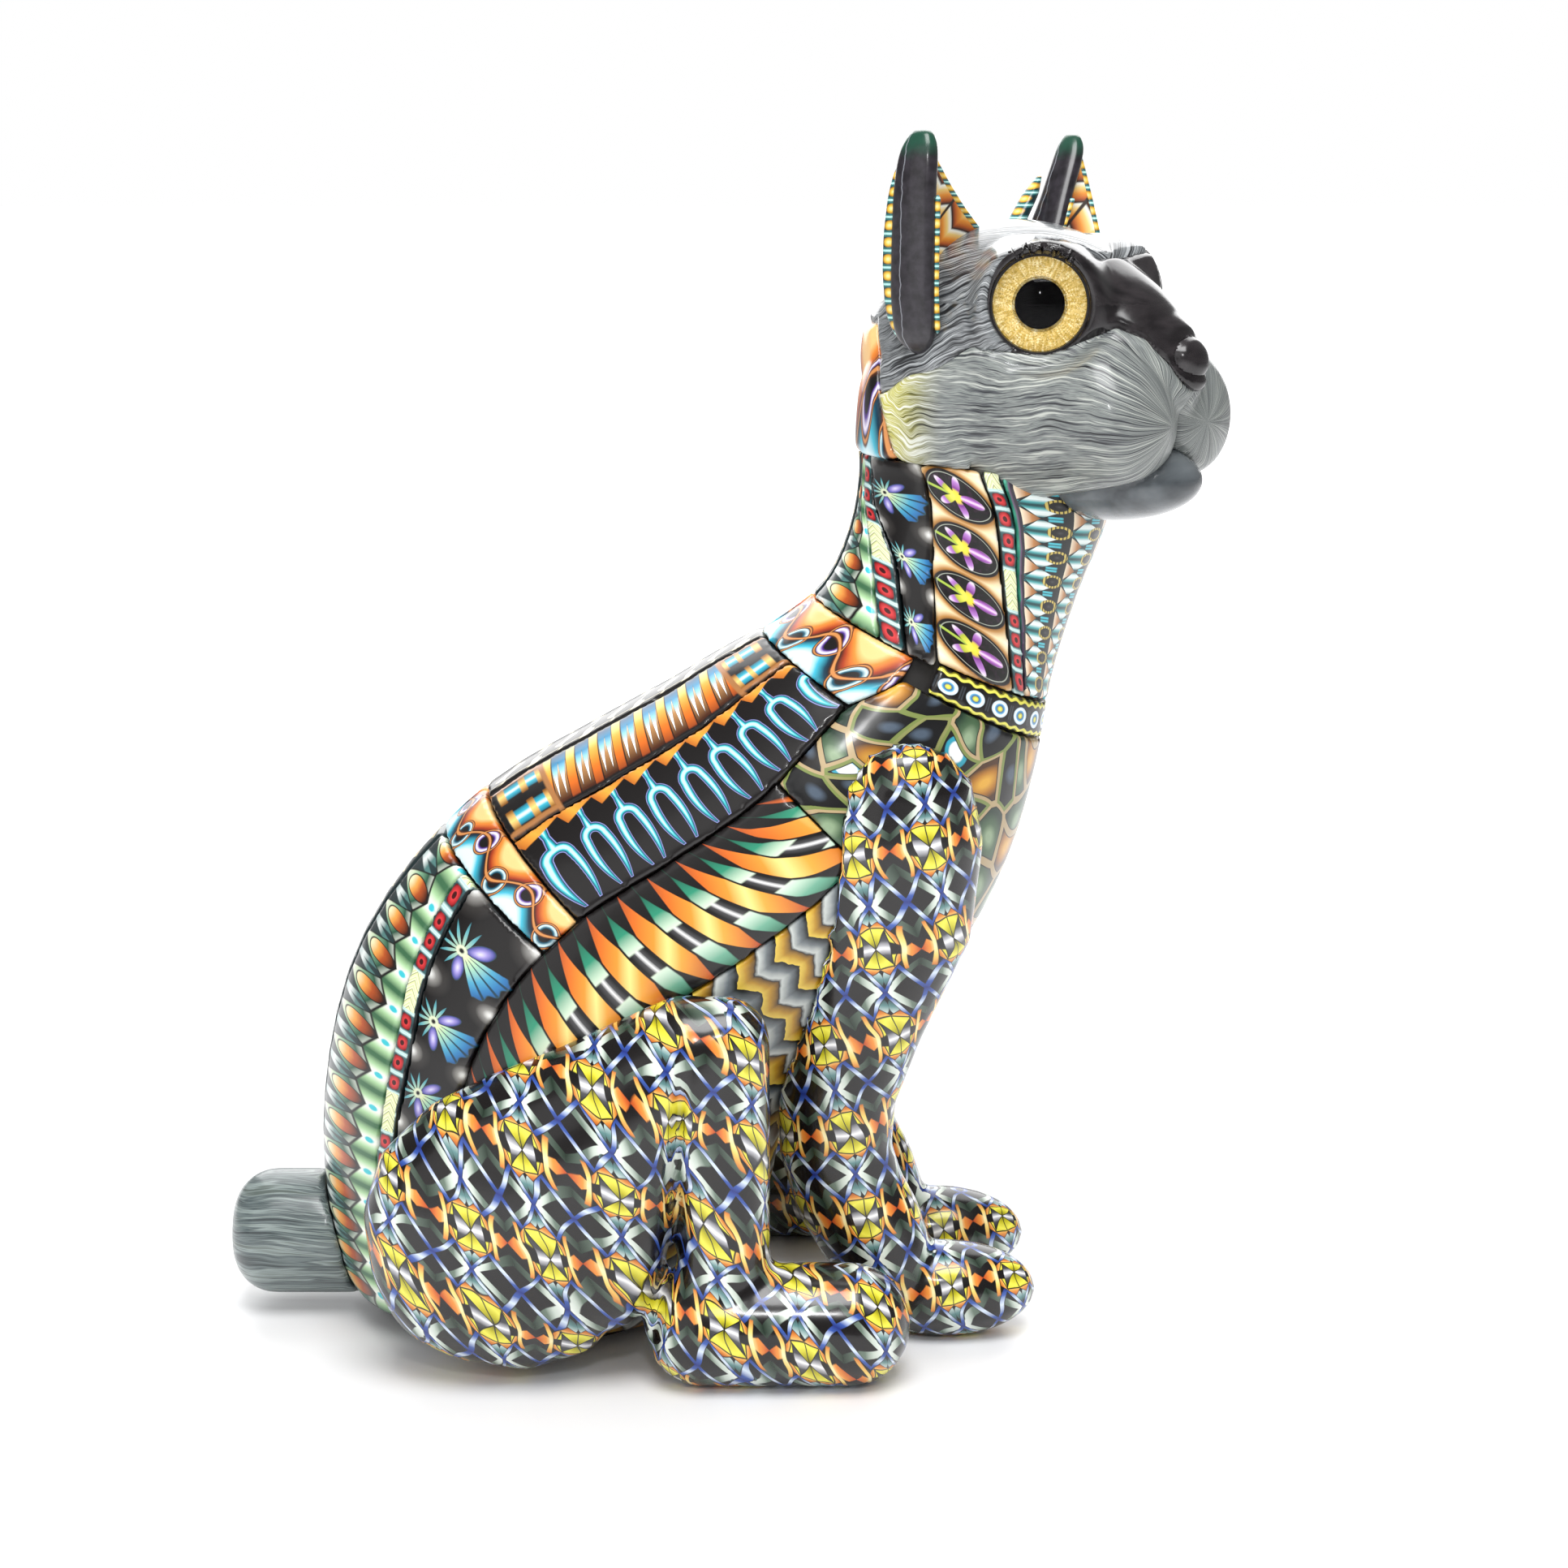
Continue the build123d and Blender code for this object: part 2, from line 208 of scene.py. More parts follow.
# ---- patterns: a runs along a strip and c across it, both in millimetres ----------
def kaleidoscope(a, c, lean):
    """Mirrored tiles of the legs: rosettes, flame stars, blue ribbons and pale chevrons."""
    bend = (noise(a, c, 0.05, 2.0) - 0.5) * 8.0
    x = fold((a + c * 0.22 + bend) / 7.7)
    y = fold((c + a * lean - bend) / 9.6)
    rise = 1.0 - y
    # big diamond frames, dark green at the top and white where they reach the middle
    frame_ring = (1.0 - x) / 0.92 + rise / 0.66 - 1.0
    col = over(BLACK, ramp(x, (0.08, "F6FBF4"), (0.34, "C8D4C8"), (0.50, "6A7C6E"), (1.0, "1E2E22")),
               line(frame_ring, 0.16, 0.02))
    # teal petals
    petal = dist((x - 0.13) / 0.13, (y - 0.68) / 0.19)
    col = over(col, ramp(y, (0.52, "C9DAD6"), (0.68, "5F8A8A"), (0.86, "0F1A1C")), inside(petal - 1.0, 0.07))
    # ribbons
    reach = high((0.42 - x) / 0.42, (x - 0.42) / 0.58)
    ribbon = reach + rise / 0.62 - 1.0
    blue = ramp(rise / 0.62, (0.0, "1E2F7C"), (0.22, "3858A8"), (0.5, "DCE9F6"), (0.78, "3A5CAE"),
                (1.0, "22347E"))
    col = over(col, BLACK, line(ribbon, 0.155, 0.02))
    col = over(col, blue, line(ribbon, 0.118, 0.02))
    # star tips and the pale flames behind them
    tip = y - low((1.0 - x) * 0.8, high(0.20 - abs(x - 0.84) * 0.5, 0.05))
    col = over(col, ramp(x, (0.60, "FFE9A2"), (0.74, "F0963C"), (0.95, "C4521C")),
               inside(tip, 0.02) * inside(0.58 - x, 0.02))
    flame = x - 0.60 - y * y * 0.30
    col = over(col, ramp(y, (0.0, "FFF3BC"), (0.25, "FBD873"), (0.52, "D2691E")),
               line(flame, 0.055, 0.015) * inside(y - 0.50, 0.02))
    # rosette: orange caps, yellow wedges, silver kites
    cap = high(y + x * 0.12 - (0.61 - abs(x - 0.20) * 0.75), x + y * 0.35 - 0.64 + abs(y - 0.28) * 0.35)
    wedge = high(y + x * 0.12 - 0.455, x + y * 0.35 - 0.52)
    col = over(col, BLACK, inside(cap - 0.02, 0.012))
    col = over(col, ramp(wedge, (0.0, "F7C66A"), (0.07, "E08A34"), (0.16, "A9481A")), inside(cap, 0.012))
    gold = ramp(dist(x, y), (0.05, "6E6A10"), (0.22, "C7BE1C"), (0.40, "F3EC54"), (0.6, "D8C62A"))
    col = over(col, gold, inside(wedge, 0.012))
    col = over(col, BLACK, inside(y - 0.15 + (x - 0.38) * 0.2, 0.02) * line(x - 0.46, 0.10, 0.02))
    silver = ramp(y, (0.0, "FFFFFF"), (0.06, "B9B9BE"), (0.16, "4A4A4E"), (0.34, "18181A"))
    col = over(col, silver, inside(y - x, 0.012) * inside(x - 0.37, 0.012))
    seams = high(line(x, 0.014, 0.010), line((x - y) * 0.7, 0.012, 0.010))
    seams = high(seams, high(line(wedge, 0.014, 0.010), line(x - 0.37, 0.012, 0.010)))
    return over(col, BLACK, seams * inside(cap, 0.02))


def tooth_band(a, c, length, width):
    """Blue teeth and orange blocks, a block of banded bolts at each end."""
    v = c / width
    block = length * 0.16
    unit = length * 0.66 / 7.5
    x = wrap((a - block) / unit + v * 0.55)
    col = ramp(v, (0.25, "FBEFD2"), (0.55, "B98650"), (0.9, "4A2410"))
    orange = ramp(v, (0.1, "FFE27A"), (0.35, "F9AE38"), (0.65, "E8741A"), (0.95, "8C3A14"))
    col = over(col, orange, inside(x - 0.40, 0.02))
    spike = fold((x - 0.40) / 0.30)
    reach = 1.0 - abs(spike - 0.5) * 2.0
    side = v - (0.24 + high(reach, 0.0) * 0.62)
    blue = ramp(v, (0.08, "064268"), (0.26, "1F86B4"), (0.42, "9CD8EC"), (0.6, "FFFFFF"))
    free = inside(0.40 - x, 0.02)
    col = over(col, blue, inside(side, 0.03) * free)
    seams = high(line(x - 0.40, 0.025, 0.02), line(x - 0.01, 0.02, 0.02))
    seams = high(line(side, 0.018, 0.02) * free, seams)
    col = over(col, BLACK, seams)
    col = over(col, BLACK, high(inside(v - 0.06, 0.02), inside(0.93 - v, 0.02)))
    # end blocks
    end = low(a, length - a)
    along = end / block
    rod = fold(v * 2.0)
    mid = abs(rod - 0.5)
    block_col = over(BLACK, ramp(mid, (0.0, "EAFBFD"), (0.1, "35AEC6"), (0.3, "07485E")),
                     inside(mid - 0.26, 0.03) * inside(abs(along - 0.5) - 0.36, 0.05))
    rings = line(wrap(along * 3.0) - 0.5, 0.16, 0.04) * inside(mid - 0.34, 0.03)
    block_col = over(block_col, ramp(mid, (0.0, "FFD27A"), (0.3, "8A5410")), rings)
    rim = high(line(v - 0.06, 0.035, 0.02), line(v - 0.94, 0.035, 0.02))
    rim = high(line(along - 0.95, 0.07, 0.03), rim)
    block_col = over(block_col, COPPER, rim)
    return over(col, block_col, inside(along - 1.0, 0.03))


def spine_chevrons(a, c, length, width):
    """Small cream flames on black."""
    y = abs(c / width - 0.5) * 2.0
    x = a / 3.1
    flame = fold(x + y * 1.6 + sine(y * 2.2) * 0.18)
    other = fold(y * 3.4 + x * 0.5)
    col = over(BLACK, ink("E6DEC2"), inside(flame + other * 0.55 - 0.52, 0.06))
    col = over(col, BLACK, inside(0.88 - y, 0.03))
    return over(col, ink("CFC6A6"), line(y - 0.80, 0.012, 0.02))


def wishbones(a, c, length, width):
    """Turquoise wishbones hung from a gold thorn edge, on black."""
    pitch = length / 8.4
    x = abs(wrap(a / pitch) - 0.5) * pitch
    arch, reach = 0.33 * width + 2.0, 0.50 * width
    drop = c - arch
    along = high(drop, 0.0) / reach
    swell = along * (1.0 - along) * 2.4 - along * 0.6
    arm = abs(dist(x, low(drop, 0.0)) - 2.0 - swell) - (0.78 - along * along * 0.66)
    prong = high(arm, drop - reach)
    stem = high(x - (0.42 + abs(c - 3.6) * 0.12), high(c - arch + 1.6, 1.4 - c))
    bone = low(stem, prong)
    col = over(BLACK, ink("8C94D4"), inside(bone - 0.20, 0.07))
    col = over(col, BLACK, inside(bone - 0.06, 0.04))
    col = over(col, ramp(bone * -1.0, (0.0, "0A4A5C"), (0.18, "138A9E"), (0.34, "3CC4CC"), (0.55, "C2F6F0")),
               inside(bone, 0.05))
    saw = wrap((a - c * 0.5) / pitch + 0.12)
    thorn = c - (0.9 + (1.0 - saw) * 2.4)
    gold = ramp(saw, (0.0, "B9631A"), (0.4, "EFA53A"), (1.0, "C8751F"))
    return over(col, gold, inside(thorn, 0.12) * inside(0.35 - c, 0.1))


def rib_fan(a, c, length, width):
    """Orange ribs that fan out from the flank, green wedges and dark cylinders between."""
    middle, apex = 0.72 * length, 0.24 * length
    foot = middle + (a - middle - c * c * 0.010) * apex / (c + apex)
    pitch = 0.050 * length
    t = wrap(foot / pitch)
    v = c / width
    blade = low(v * 2.6 + 0.05, 1.0) * low((1.06 - v) * 3.2, 1.0)
    rib = abs(t - 0.28) - 0.27 * blade
    gap = ramp(v, (0.10, "0D5A44"), (0.30, "2F9272"), (0.46, "DDF0D6"))
    gap = over(gap, ramp(abs(t - 0.78), (0.0, "F4F4F4"), (0.07, "4A4A4C"), (0.18, "0E0C0C")),
               inside(abs(v - 0.58) - 0.115, 0.012))
    gap = over(gap, ramp(v, (0.70, "DDF0DC"), (0.86, "6FAE92"), (1.0, "1F6A50")), inside(0.70 - v, 0.012))
    leaf = abs(t - 0.78) - 0.20 * low(high(v - 0.10, 0.0) * 4.0, 1.0) * low((1.08 - v) * 4.0, 1.0)
    col = over(BLACK, gap, inside(leaf, 0.02))
    heat = ramp(v + (t - 0.25) * 0.4, (0.0, "A03A12"), (0.25, "E0701F"), (0.46, "F49A35"), (0.60, "FFE88C"),
                (0.72, "F7A93C"), (1.0, "C04C16"))
    col = over(col, heat, inside(rib, 0.015))
    col = over(col, BLACK, line(rib, 0.022, 0.012))
    return over(col, BLACK, inside(0.965 * length - foot, 0.6))


def leaf_strip(a, c, length, width):
    """Pale green flames that point to the spine, each with an orange heart, and white wings behind."""
    pitch = 7.3
    y = abs(wrap(a / pitch) * 2.0 - 1.0)
    v = c / width
    col = ramp(v, (0.0, "142224"), (0.4, "22383A"), (1.0, "1C2A2C"))
    col = over(col, ramp(v, (0.0, "8FB0B0"), (0.22, "F0F6F2"), (0.4, "4E7C78")),
               inside(abs(1.0 - y - v * 0.5) - 0.13, 0.04))
    flame = y - 0.86 * power(high((v - 0.02) / 0.62, 0.0), 0.9)
    col = over(col, BLACK, inside(flame - 0.07, 0.03))
    pale = ramp(v + y * 0.2, (0.05, "FBFCEE"), (0.25, "D8E8C4"), (0.45, "7FB08A"), (0.7, "24523C"),
                (0.95, "F2F6E8"))
    col = over(col, pale, inside(flame, 0.04))
    heart = dist(y / 0.40, (v - 0.52) / 0.27)
    col = over(col, BLACK, inside(heart - 1.12, 0.05))
    heat = ramp(v + y * 0.1, (0.30, "FFF0C0"), (0.46, "F4A84C"), (0.60, "B4501A"), (0.78, "2A120A"))
    col = over(col, heat, inside(heart - 1.0, 0.05))
    wing = inside(v - 1.2, 0.1) * inside(0.66 + (1.0 - y) * 0.16 - v, 0.02)
    col = over(col, ramp(y, (0.1, "F6FAEE"), (0.5, "A8D09C"), (0.9, "3C6A48")), wing)
    col = over(col, BLACK, line(v - 0.66 - (1.0 - y) * 0.16, 0.02, 0.015))
    dots = inside(dist(y * 2.2, (v - 0.92) * 7.0) - 0.36, 0.1)
    return over(col, ink("3BC3CF"), dots)


def bead_strip(a, c, length, width):
    """Four red beads, then a zigzag link, over and over."""
    bead = 4.2
    cycle = bead * 6.0
    m = wrap(a / cycle) * 6.0
    x = wrap(m) - 0.5
    v = c / width - 0.5
    col = ramp(abs(x), (0.0, "123236"), (0.36, "2C5A5E"), (0.46, "D5EEEA"), (0.5, "A9D4D2"))
    box = high(abs(x) / 0.33, abs(v) / 0.30)
    round_box = dist(x / 0.36, v / 0.34)
    red = ramp(round_box, (0.0, "3A0A0A"), (0.32, "4A0E10"), (0.40, "D8393C"), (0.85, "A31A20"),
               (1.0, "5A0C10"))
    col = over(col, red, inside(low(box, 2.0) - 1.0, 0.06) * inside(round_box - 1.12, 0.05))
    zig = wrap(a * 0.55 + abs(v) * 2.6)
    link = ramp(zig, (0.0, "F6F7DA"), (0.45, "DDE3A0"), (0.55, "6F7A3E"), (0.62, "F6F7DA"), (1.0, "C9D68C"))
    col = over(col, link, inside(4.05 - m, 0.03) * inside(abs(v) - 0.36, 0.03))
    return over(col, ink("0B1416"), inside(0.40 - abs(v), 0.03))


def flower(x, y, big):
    """Colour and mask of one half-open flower facing +y; x and y in millimetres from its heart."""
    r = dist(x, y) / big
    turn = angle(x, y)
    away = abs(turn)
    fan = inside(r - (0.96 + calc("COSINE", turn * 17.0) * 0.04), 0.025) * inside(away - 0.58, 0.03)
    lean = math.radians(56)
    along = (abs(x) * math.sin(lean) + y * math.cos(lean)) / big
    across = (abs(x) * math.cos(lean) - y * math.sin(lean)) / big
    bud = dist((along - 0.38) / 0.28, across / 0.12)
    back = math.pi - away
    spike = 0.50 * (1.0 - abs(wrap(back / 0.52 + 0.5) - 0.5) * 2.0)
    spikes = inside(r - spike, 0.02) * inside(back - 1.85, 0.05)
    col = ramp(r, (0.0, "0E1A1C"), (0.14, "A9C8B0"), (0.34, "5FA8B0"), (0.5, "2E6F7C"))
    fan_col = ramp(r, (0.1, "E4E8B4"), (0.35, "A5D2B4"), (0.62, "4AA0C0"), (0.82, "2B78B0"), (1.0, "174C8C"))
    veins = line(wrap(turn * 3.0 + 0.5) - 0.5, 0.10, 0.05) * inside(0.18 - r, 0.05)
    fan_col = over(fan_col, ink("123A4C"), veins)
    col = over(col, fan_col, fan)
    bud_col = ramp(bud, (0.0, "DAD6F4"), (0.45, "9C90D0"), (0.8, "5A5AA8"), (1.0, "22285C"))
    col = over(col, bud_col, inside(bud - 1.0, 0.06))
    col = over(col, BLACK, line(away - 0.60, 0.025, 0.02) * inside(r - 0.95, 0.02))
    heart = inside(r - 0.12, 0.02)
    col = over(col, ink("D8E0C0"), heart)
    col = over(col, BLACK, inside(r - 0.05, 0.02))
    return col, high(high(spikes, fan), high(inside(bud - 1.0, 0.06), heart))


def flower_strip(a, c, length, width):
    """Blue half-open flowers on black, with pale corners between them."""
    pitch = length / round(length / 14.0)
    x = (wrap(a / pitch) - 0.5) * pitch
    gap = (1.0 - abs(x) / (0.5 * pitch)) * 2.0
    glow = high(1.0 - dist(gap, (c / width - 0.04) * 2.8), 1.0 - dist(gap, (c / width - 0.97) * 3.0))
    col = ramp(glow, (0.0, "100C0C"), (0.40, "34312F"), (0.7, "8E8C88"), (0.95, "ECECE8"))
    y = c - width * 0.30
    petals, mask = flower(x * 0.93 + y * 0.37, y * 0.93 - x * 0.37, 0.68 * width)
    return over(col, petals, mask)


def lozenge_strip(a, c, length, width):
    """Small cream and red lozenges in a row."""
    v = abs(c / width - 0.5) * 2.0
    x = fold(a / 1.9)
    col = over(ink("16282A"), ink("F1E6B4"), inside(x * 0.9 + v * 1.1 - 0.62, 0.06))
    return over(col, ink("B3262A"), inside(x + v * 1.6 - 0.34, 0.06))


def orchid(x, y, big):
    """Purple and yellow orchid along +y; colour and mask."""
    r = dist(x, y) / big
    turn = angle(x, y)
    petals = inside(r - (0.20 + 0.62 * power(abs(calc("COSINE", turn * 2.5)), 2.6)), 0.04)
    lip = inside(dist(x / (0.20 * big), (y - 0.62 * big) / (0.42 * big)) - 1.0, 0.08)
    col = ramp(r, (0.0, "F2E34A"), (0.22, "E9D23C"), (0.34, "7B2C8C"), (0.62, "B57CC8"), (0.8, "F3E6F4"))
    col = over(col, ramp(abs(x) / big, (0.0, "F4D8F2"), (0.08, "B06AC0"), (0.2, "6A1F78")), lip)
    golden = inside(r - 0.50, 0.05) * inside(y + abs(x) * 0.4, 0.2)
    col = over(col, ramp(r, (0.1, "F4EB5C"), (0.5, "A8B42E")), golden)
    return col, high(petals, lip)


def orchid_strip(a, c, length, width):
    """Four black ovals on copper, each with an orchid."""
    pitch = length / 4.0
    lean = (c - width * 0.5) * 0.28
    x = (wrap((a + lean) / pitch) - 0.5) * pitch
    y = c - width * 0.5
    cell = power(abs(x) / (0.44 * pitch), 1.7) + power(abs(y) / (0.49 * width), 2.2)
    ground = ramp(cell * 0.4, (0.36, "6B3C14"), (0.46, "B98646"), (0.62, "F2DDB0"), (0.95, "FFFDF2"))
    dark = ramp(noise(a, c, 0.9), (0.5, "0A0808"), (0.72, "2C1428"))
    petals, mask = orchid(x, y + 0.4, 0.38 * width)
    stem = line(x + y * 0.1, 0.28, 0.12) * inside(y + 0.1 * width, 0.3)
    inner = over(dark, ink("A9C24A"), stem)
    inner = over(inner, petals, mask)
    inner = over(inner, ink("AEB4A6"), line(cell - 0.80, 0.02, 0.02))
    inner = over(inner, BLACK, inside(0.86 - cell, 0.04))
    return over(ground, inner, inside(cell - 1.0, 0.04))


def scroll_hook(x, y, heart, *stops):
    """Colour of one curled tendril round heart, and how far out from it a place lies."""
    d = dist((wrap(x) - heart[0]) * 2.1, y - heart[1])
    return ramp(d, (0.0, "120E0E"), *stops), d


def scrolls(a, c, length, width):
    """Copper tendrils round fields of orange, purple and turquoise, on black."""
    x = c / 15.5
    y = a / length
    d = y - 0.5 - sine(x) * 0.27
    col = ramp(d + 0.5, (0.0, "D8F0F4"), (0.16, "3FB7CF"), (0.36, "0B3A50"), (0.46, "120E0E"),
               (0.54, "120E0E"), (0.66, "A83A14"), (0.86, "EE8C34"), (1.0, "FBCB84"))
    purple, near = scroll_hook(x, y, (0.30, 0.66), (0.17, "120E0E"), (0.2, "5A3596"), (0.26, "F4EEFA"),
                               (0.3, "6C3FA6"))
    col = over(col, purple, inside(near - 0.30, 0.02))
    blue, far = scroll_hook(x + 0.5, y, (0.35, 0.30), (0.16, "120E0E"), (0.2, "0C5C74"), (0.26, "D6F2F6"),
                            (0.3, "1C8AA4"))
    col = over(col, blue, inside(far - 0.29, 0.02))
    for code, wide, wide_soft, fine, soft in (("4A220C", 0.062, 0.015, 0.035, 0.012),
                                              ("D08A4C", 0.030, 0.012, 0.013, 0.010)):
        curls = high(line(near - 0.33, fine, soft), line(far - 0.32, fine, soft))
        col = over(col, ink(code), high(line(d, wide, wide_soft), curls))
    return col


def throat(a, c, length, width):
    """White and teal feathers between brown thorns, black almonds with a barred gold ring."""
    x = abs(wrap(a / 5.4) - 0.5) * 5.4
    half = abs(c - width * 0.5)
    edge = width * 0.5 - half
    cord = ramp(edge, (0.0, "0E1416"), (0.3, "5AC8A8"), (0.55, "2F8A70"), (0.8, "6A4A6E"), (1.0, "2A2230"))
    row = wrap((edge - 1.4) / 9.0) * 9.0
    body = x - low(row * 0.9 + 0.2, low(2.5, (9.4 - row) * 0.42))
    col = ramp(x + row * 0.10, (0.2, "0E3034"), (0.5, "2C7C84"), (0.9, "0C1416"))
    feather = ramp(x / 2.6, (0.06, "15484C"), (0.26, "4FB0B2"), (0.5, "F4FCFA"), (0.72, "E8F4F0"),
                   (0.9, "2A7076"))
    col = over(col, feather, inside(body, 0.12))
    col = over(col, BLACK, line(body, 0.10, 0.06))
    thorn = 2.7 - x - (3.0 - row) * 0.62
    col = over(col, ramp(row / 4.0, (0.0, "F8E8CC"), (0.4, "C0824A"), (0.9, "4A2410")),
               inside(thorn, 0.1) * inside(row - 3.4, 0.1))
    almond = dist(x / 1.15, (row - 6.4) / 2.0)
    bars = over(ink("D8C060"), ink("3A3214"), inside(wrap(row * 1.3) - 0.35, 0.1))
    col = over(col, bars, inside(almond - 1.25, 0.06))
    col = over(col, ramp(almond, (0.0, "3A3A3C"), (0.4, "0C0A0A")), inside(almond - 0.85, 0.05))
    col = over(col, ink("4FC4D4"), line(2.7 - x - 0.3, 0.22, 0.1) * inside(abs(row - 5.6) - 1.3, 0.2))
    return over(col, cord, inside(edge - 1.4, 0.1))


def collar(a, c, length, width):
    """Eyelet beads between two wavy yellow cords."""
    v = a / length - 0.5
    pitch = 5.6
    x = (wrap(c / pitch) - 0.5) * pitch
    y = v * length
    ring = dist(x, y * 1.05)
    col = over(BLACK, ramp(abs(x), (0.45, "8C9298"), (1.0, "3A3F44")),
               line(abs(abs(x) - 2.8) - 0.25, 0.16, 0.05) * inside(abs(v) - 0.22, 0.03))
    eye = ramp(ring / 2.2, (0.0, "F6F27A"), (0.22, "D8D23E"), (0.34, "1C5C9C"), (0.52, "6FB6DC"),
               (0.62, "F6FAFC"), (0.86, "CFE2EE"), (0.95, "16324A"))
    col = over(col, eye, inside(ring - 1.95, 0.08))
    cord = abs(v) - (0.40 + sine(c / 2.8) * 0.035)
    col = over(col, ink("E8E25E"), line(cord, 0.045, 0.015))
    return over(col, ink("7C7A1E"), line(cord - 0.06, 0.015, 0.01))


def chest(a, c, length, width):
    """Angular blocks with beige borders, ochre slivers and a black belt of eyelets."""
    x, y = a + sine(c / 21.0) * 2.0, c
    kind = cells(x, y, 0.11, "F1")
    pick = feed(add_node("SeparateColor"), Val(kind.outputs["Color"]))
    edge = Val(cells(x, y, 0.11, "DISTANCE_TO_EDGE").outputs["Distance"])
    tone = Val(kind.outputs["Distance"])
    green = ramp(tone, (0.1, "8FA684"), (0.28, "4A6648"), (0.55, "22382A"))
    ochre = ramp(tone, (0.1, "E0A838"), (0.3, "B4761A"), (0.5, "4A2A0C"))
    dark = ramp(tone, (0.1, "4E5C6C"), (0.25, "141416"), (0.5, "0E0E10"))
    col = over(green, ochre, inside(0.42 - pick, 0.01))
    col = over(col, dark, inside(0.58 - pick, 0.01))
    eye = over(ink("2E9CB4"), ink("F4FAFA"), inside(tone - 0.22, 0.03))
    col = over(col, eye, inside(0.9 - pick, 0.01) * inside(tone - 0.34, 0.02))
    grout = over(ink("B7A078"), ink("7C8A4A"), inside(0.62 - pick, 0.02))
    col = over(col, grout, inside(edge - 0.085, 0.008))
    return over(col, BLACK, line(edge - 0.09, 0.012, 0.008))


def belly(a, c, length, width):
    """Ochre and grey zigzag bands."""
    zig = fold(c / 4.2) * 3.0
    band = wrap((a + zig + noise(a, c, 0.3) * 2.0) / 9.0)
    col = ramp(band, (0.0, "E8C84E"), (0.22, "B98A1E"), (0.40, "6A4A12"), (0.44, "14110E"), (0.52, "C7CCC8"),
               (0.75, "6E767A"), (0.94, "1E2224"))
    return over(col, BLACK, line(band - 0.98, 0.025, 0.015))


def tail_hair(a, c):
    """Fine grey combed lines that run along the tail."""
    wave = noise(a * 0.05, c * 0.08, 1.0, 1.5) * 6.0
    strand = noise(a * 0.035, (c + wave) * 0.9, 1.0, 3.0)
    return ramp(strand, (0.34, "3C4446"), (0.44, "6E7A7A"), (0.5, "4A5456"), (0.56, "8E9A98"),
                (0.66, "59635F"))


# ---- materials -----------------------------------------------------------------------
def new_material(name, values):
    """A material, and its shader with the given values; its nodes become the tree in hand."""
    material = bpy.data.materials.new(name)
    material.use_nodes = True
    Val.tree = material.node_tree
    shader = Val.tree.nodes["Principled BSDF"]
    for key, value in values.items():
        shader.inputs[key].default_value = value
    return material, shader


def clay(name, colour_of, rough=0.30, coat=0.35):
    """Varnished clay. colour_of is called with the two layout coordinates in millimetres."""
    material, shader = new_material(name, {"Roughness": rough, "Coat Weight": coat, "Coat Roughness": 0.12})
    split = add_node("SeparateXYZ")
    feed(split, Val(add_node("UVMap", uv_map="Layout").outputs[0]))
    a, c = (Val(socket) * LAYOUT_UNIT for socket in split.outputs[:2])
    plug(colour_of(a, c), shader.inputs["Base Color"])
    rise = add_node("Bump")
    rise.inputs["Strength"].default_value = 0.06
    rise.inputs["Distance"].default_value = 0.6 * MM
    plug(solid_texture("TexNoise", 260.0), rise.inputs["Height"])
    plug(Val(rise.outputs[0]), shader.inputs["Normal"])
    return material


# ---- mesh helpers --------------------------------------------------------------------
def vertex_data(obj, key):
    out = np.empty(len(obj.data.vertices) * 3)
    obj.data.vertices.foreach_get(key, out)
    return out.reshape(-1, 3)


def mesh_points(obj):
    return vertex_data(obj, "co")


def mesh_normals(obj):
    return vertex_data(obj, "normal")


def place_points(obj, co):
    obj.data.vertices.foreach_set("co", co.reshape(-1))
    obj.data.update()


def apply_modifiers(obj):
    """Bakes an object's modifiers into its mesh and shades it smooth."""
    bpy.context.view_layer.update()
    mesh = bpy.data.meshes.new_from_object(obj.evaluated_get(bpy.context.evaluated_depsgraph_get()))
    obj.modifiers.clear()
    obj.data = mesh
    mesh.shade_smooth()


def soften(obj, voxel, passes):
    """Turns an object into one even skin, softened by so many passes of smoothing."""
    remesh = obj.modifiers.new("remesh", "REMESH")
    remesh.mode = "VOXEL"
    remesh.voxel_size = voxel
    smooth = obj.modifiers.new("smooth", "SMOOTH")
    smooth.factor = 0.5
    smooth.iterations = passes
    apply_modifiers(obj)
    return obj


def skin(node, voxel, passes):
    """A CAD solid as one softened clay skin; voxel in millimetres."""
    obj = bpy.data.objects.new(node + "_skin", NODES[node].data.copy())
    obj.matrix_world = NODES[node].matrix_world.copy()
    bpy.context.scene.collection.objects.link(obj)
    return soften(obj, voxel * MM, passes)


def new_object(name, points, faces):
    mesh = bpy.data.meshes.new(name)
    mesh.from_pydata([tuple(p) for p in points], [], faces)
    mesh.update()
    obj = bpy.data.objects.new(name, mesh)
    bpy.context.scene.collection.objects.link(obj)
    return obj


def ball(name, centre, half, pitch=0.0):
    """An egg-shaped lump of the head; pitch tips its front downward, in degrees."""
    bpy.ops.mesh.primitive_ico_sphere_add(subdivisions=5, radius=1.0)
    obj = bpy.context.object
    obj.name = name
    co = mesh_points(obj) * np.array(half)
    t = math.radians(pitch)
    x = co[:, 0] * math.cos(t) + co[:, 2] * math.sin(t)
    z = co[:, 2] * math.cos(t) - co[:, 0] * math.sin(t)
    place_points(obj, np.stack([x, co[:, 1], z], 1) + np.array(centre))
    return obj


def join_into(first, *others):
    """Joins objects into the first one."""
    bpy.ops.object.select_all(action="DESELECT")
    for obj in (first,) + others:
        obj.select_set(True)
    bpy.context.view_layer.objects.active = first
    bpy.ops.object.join()
    return first


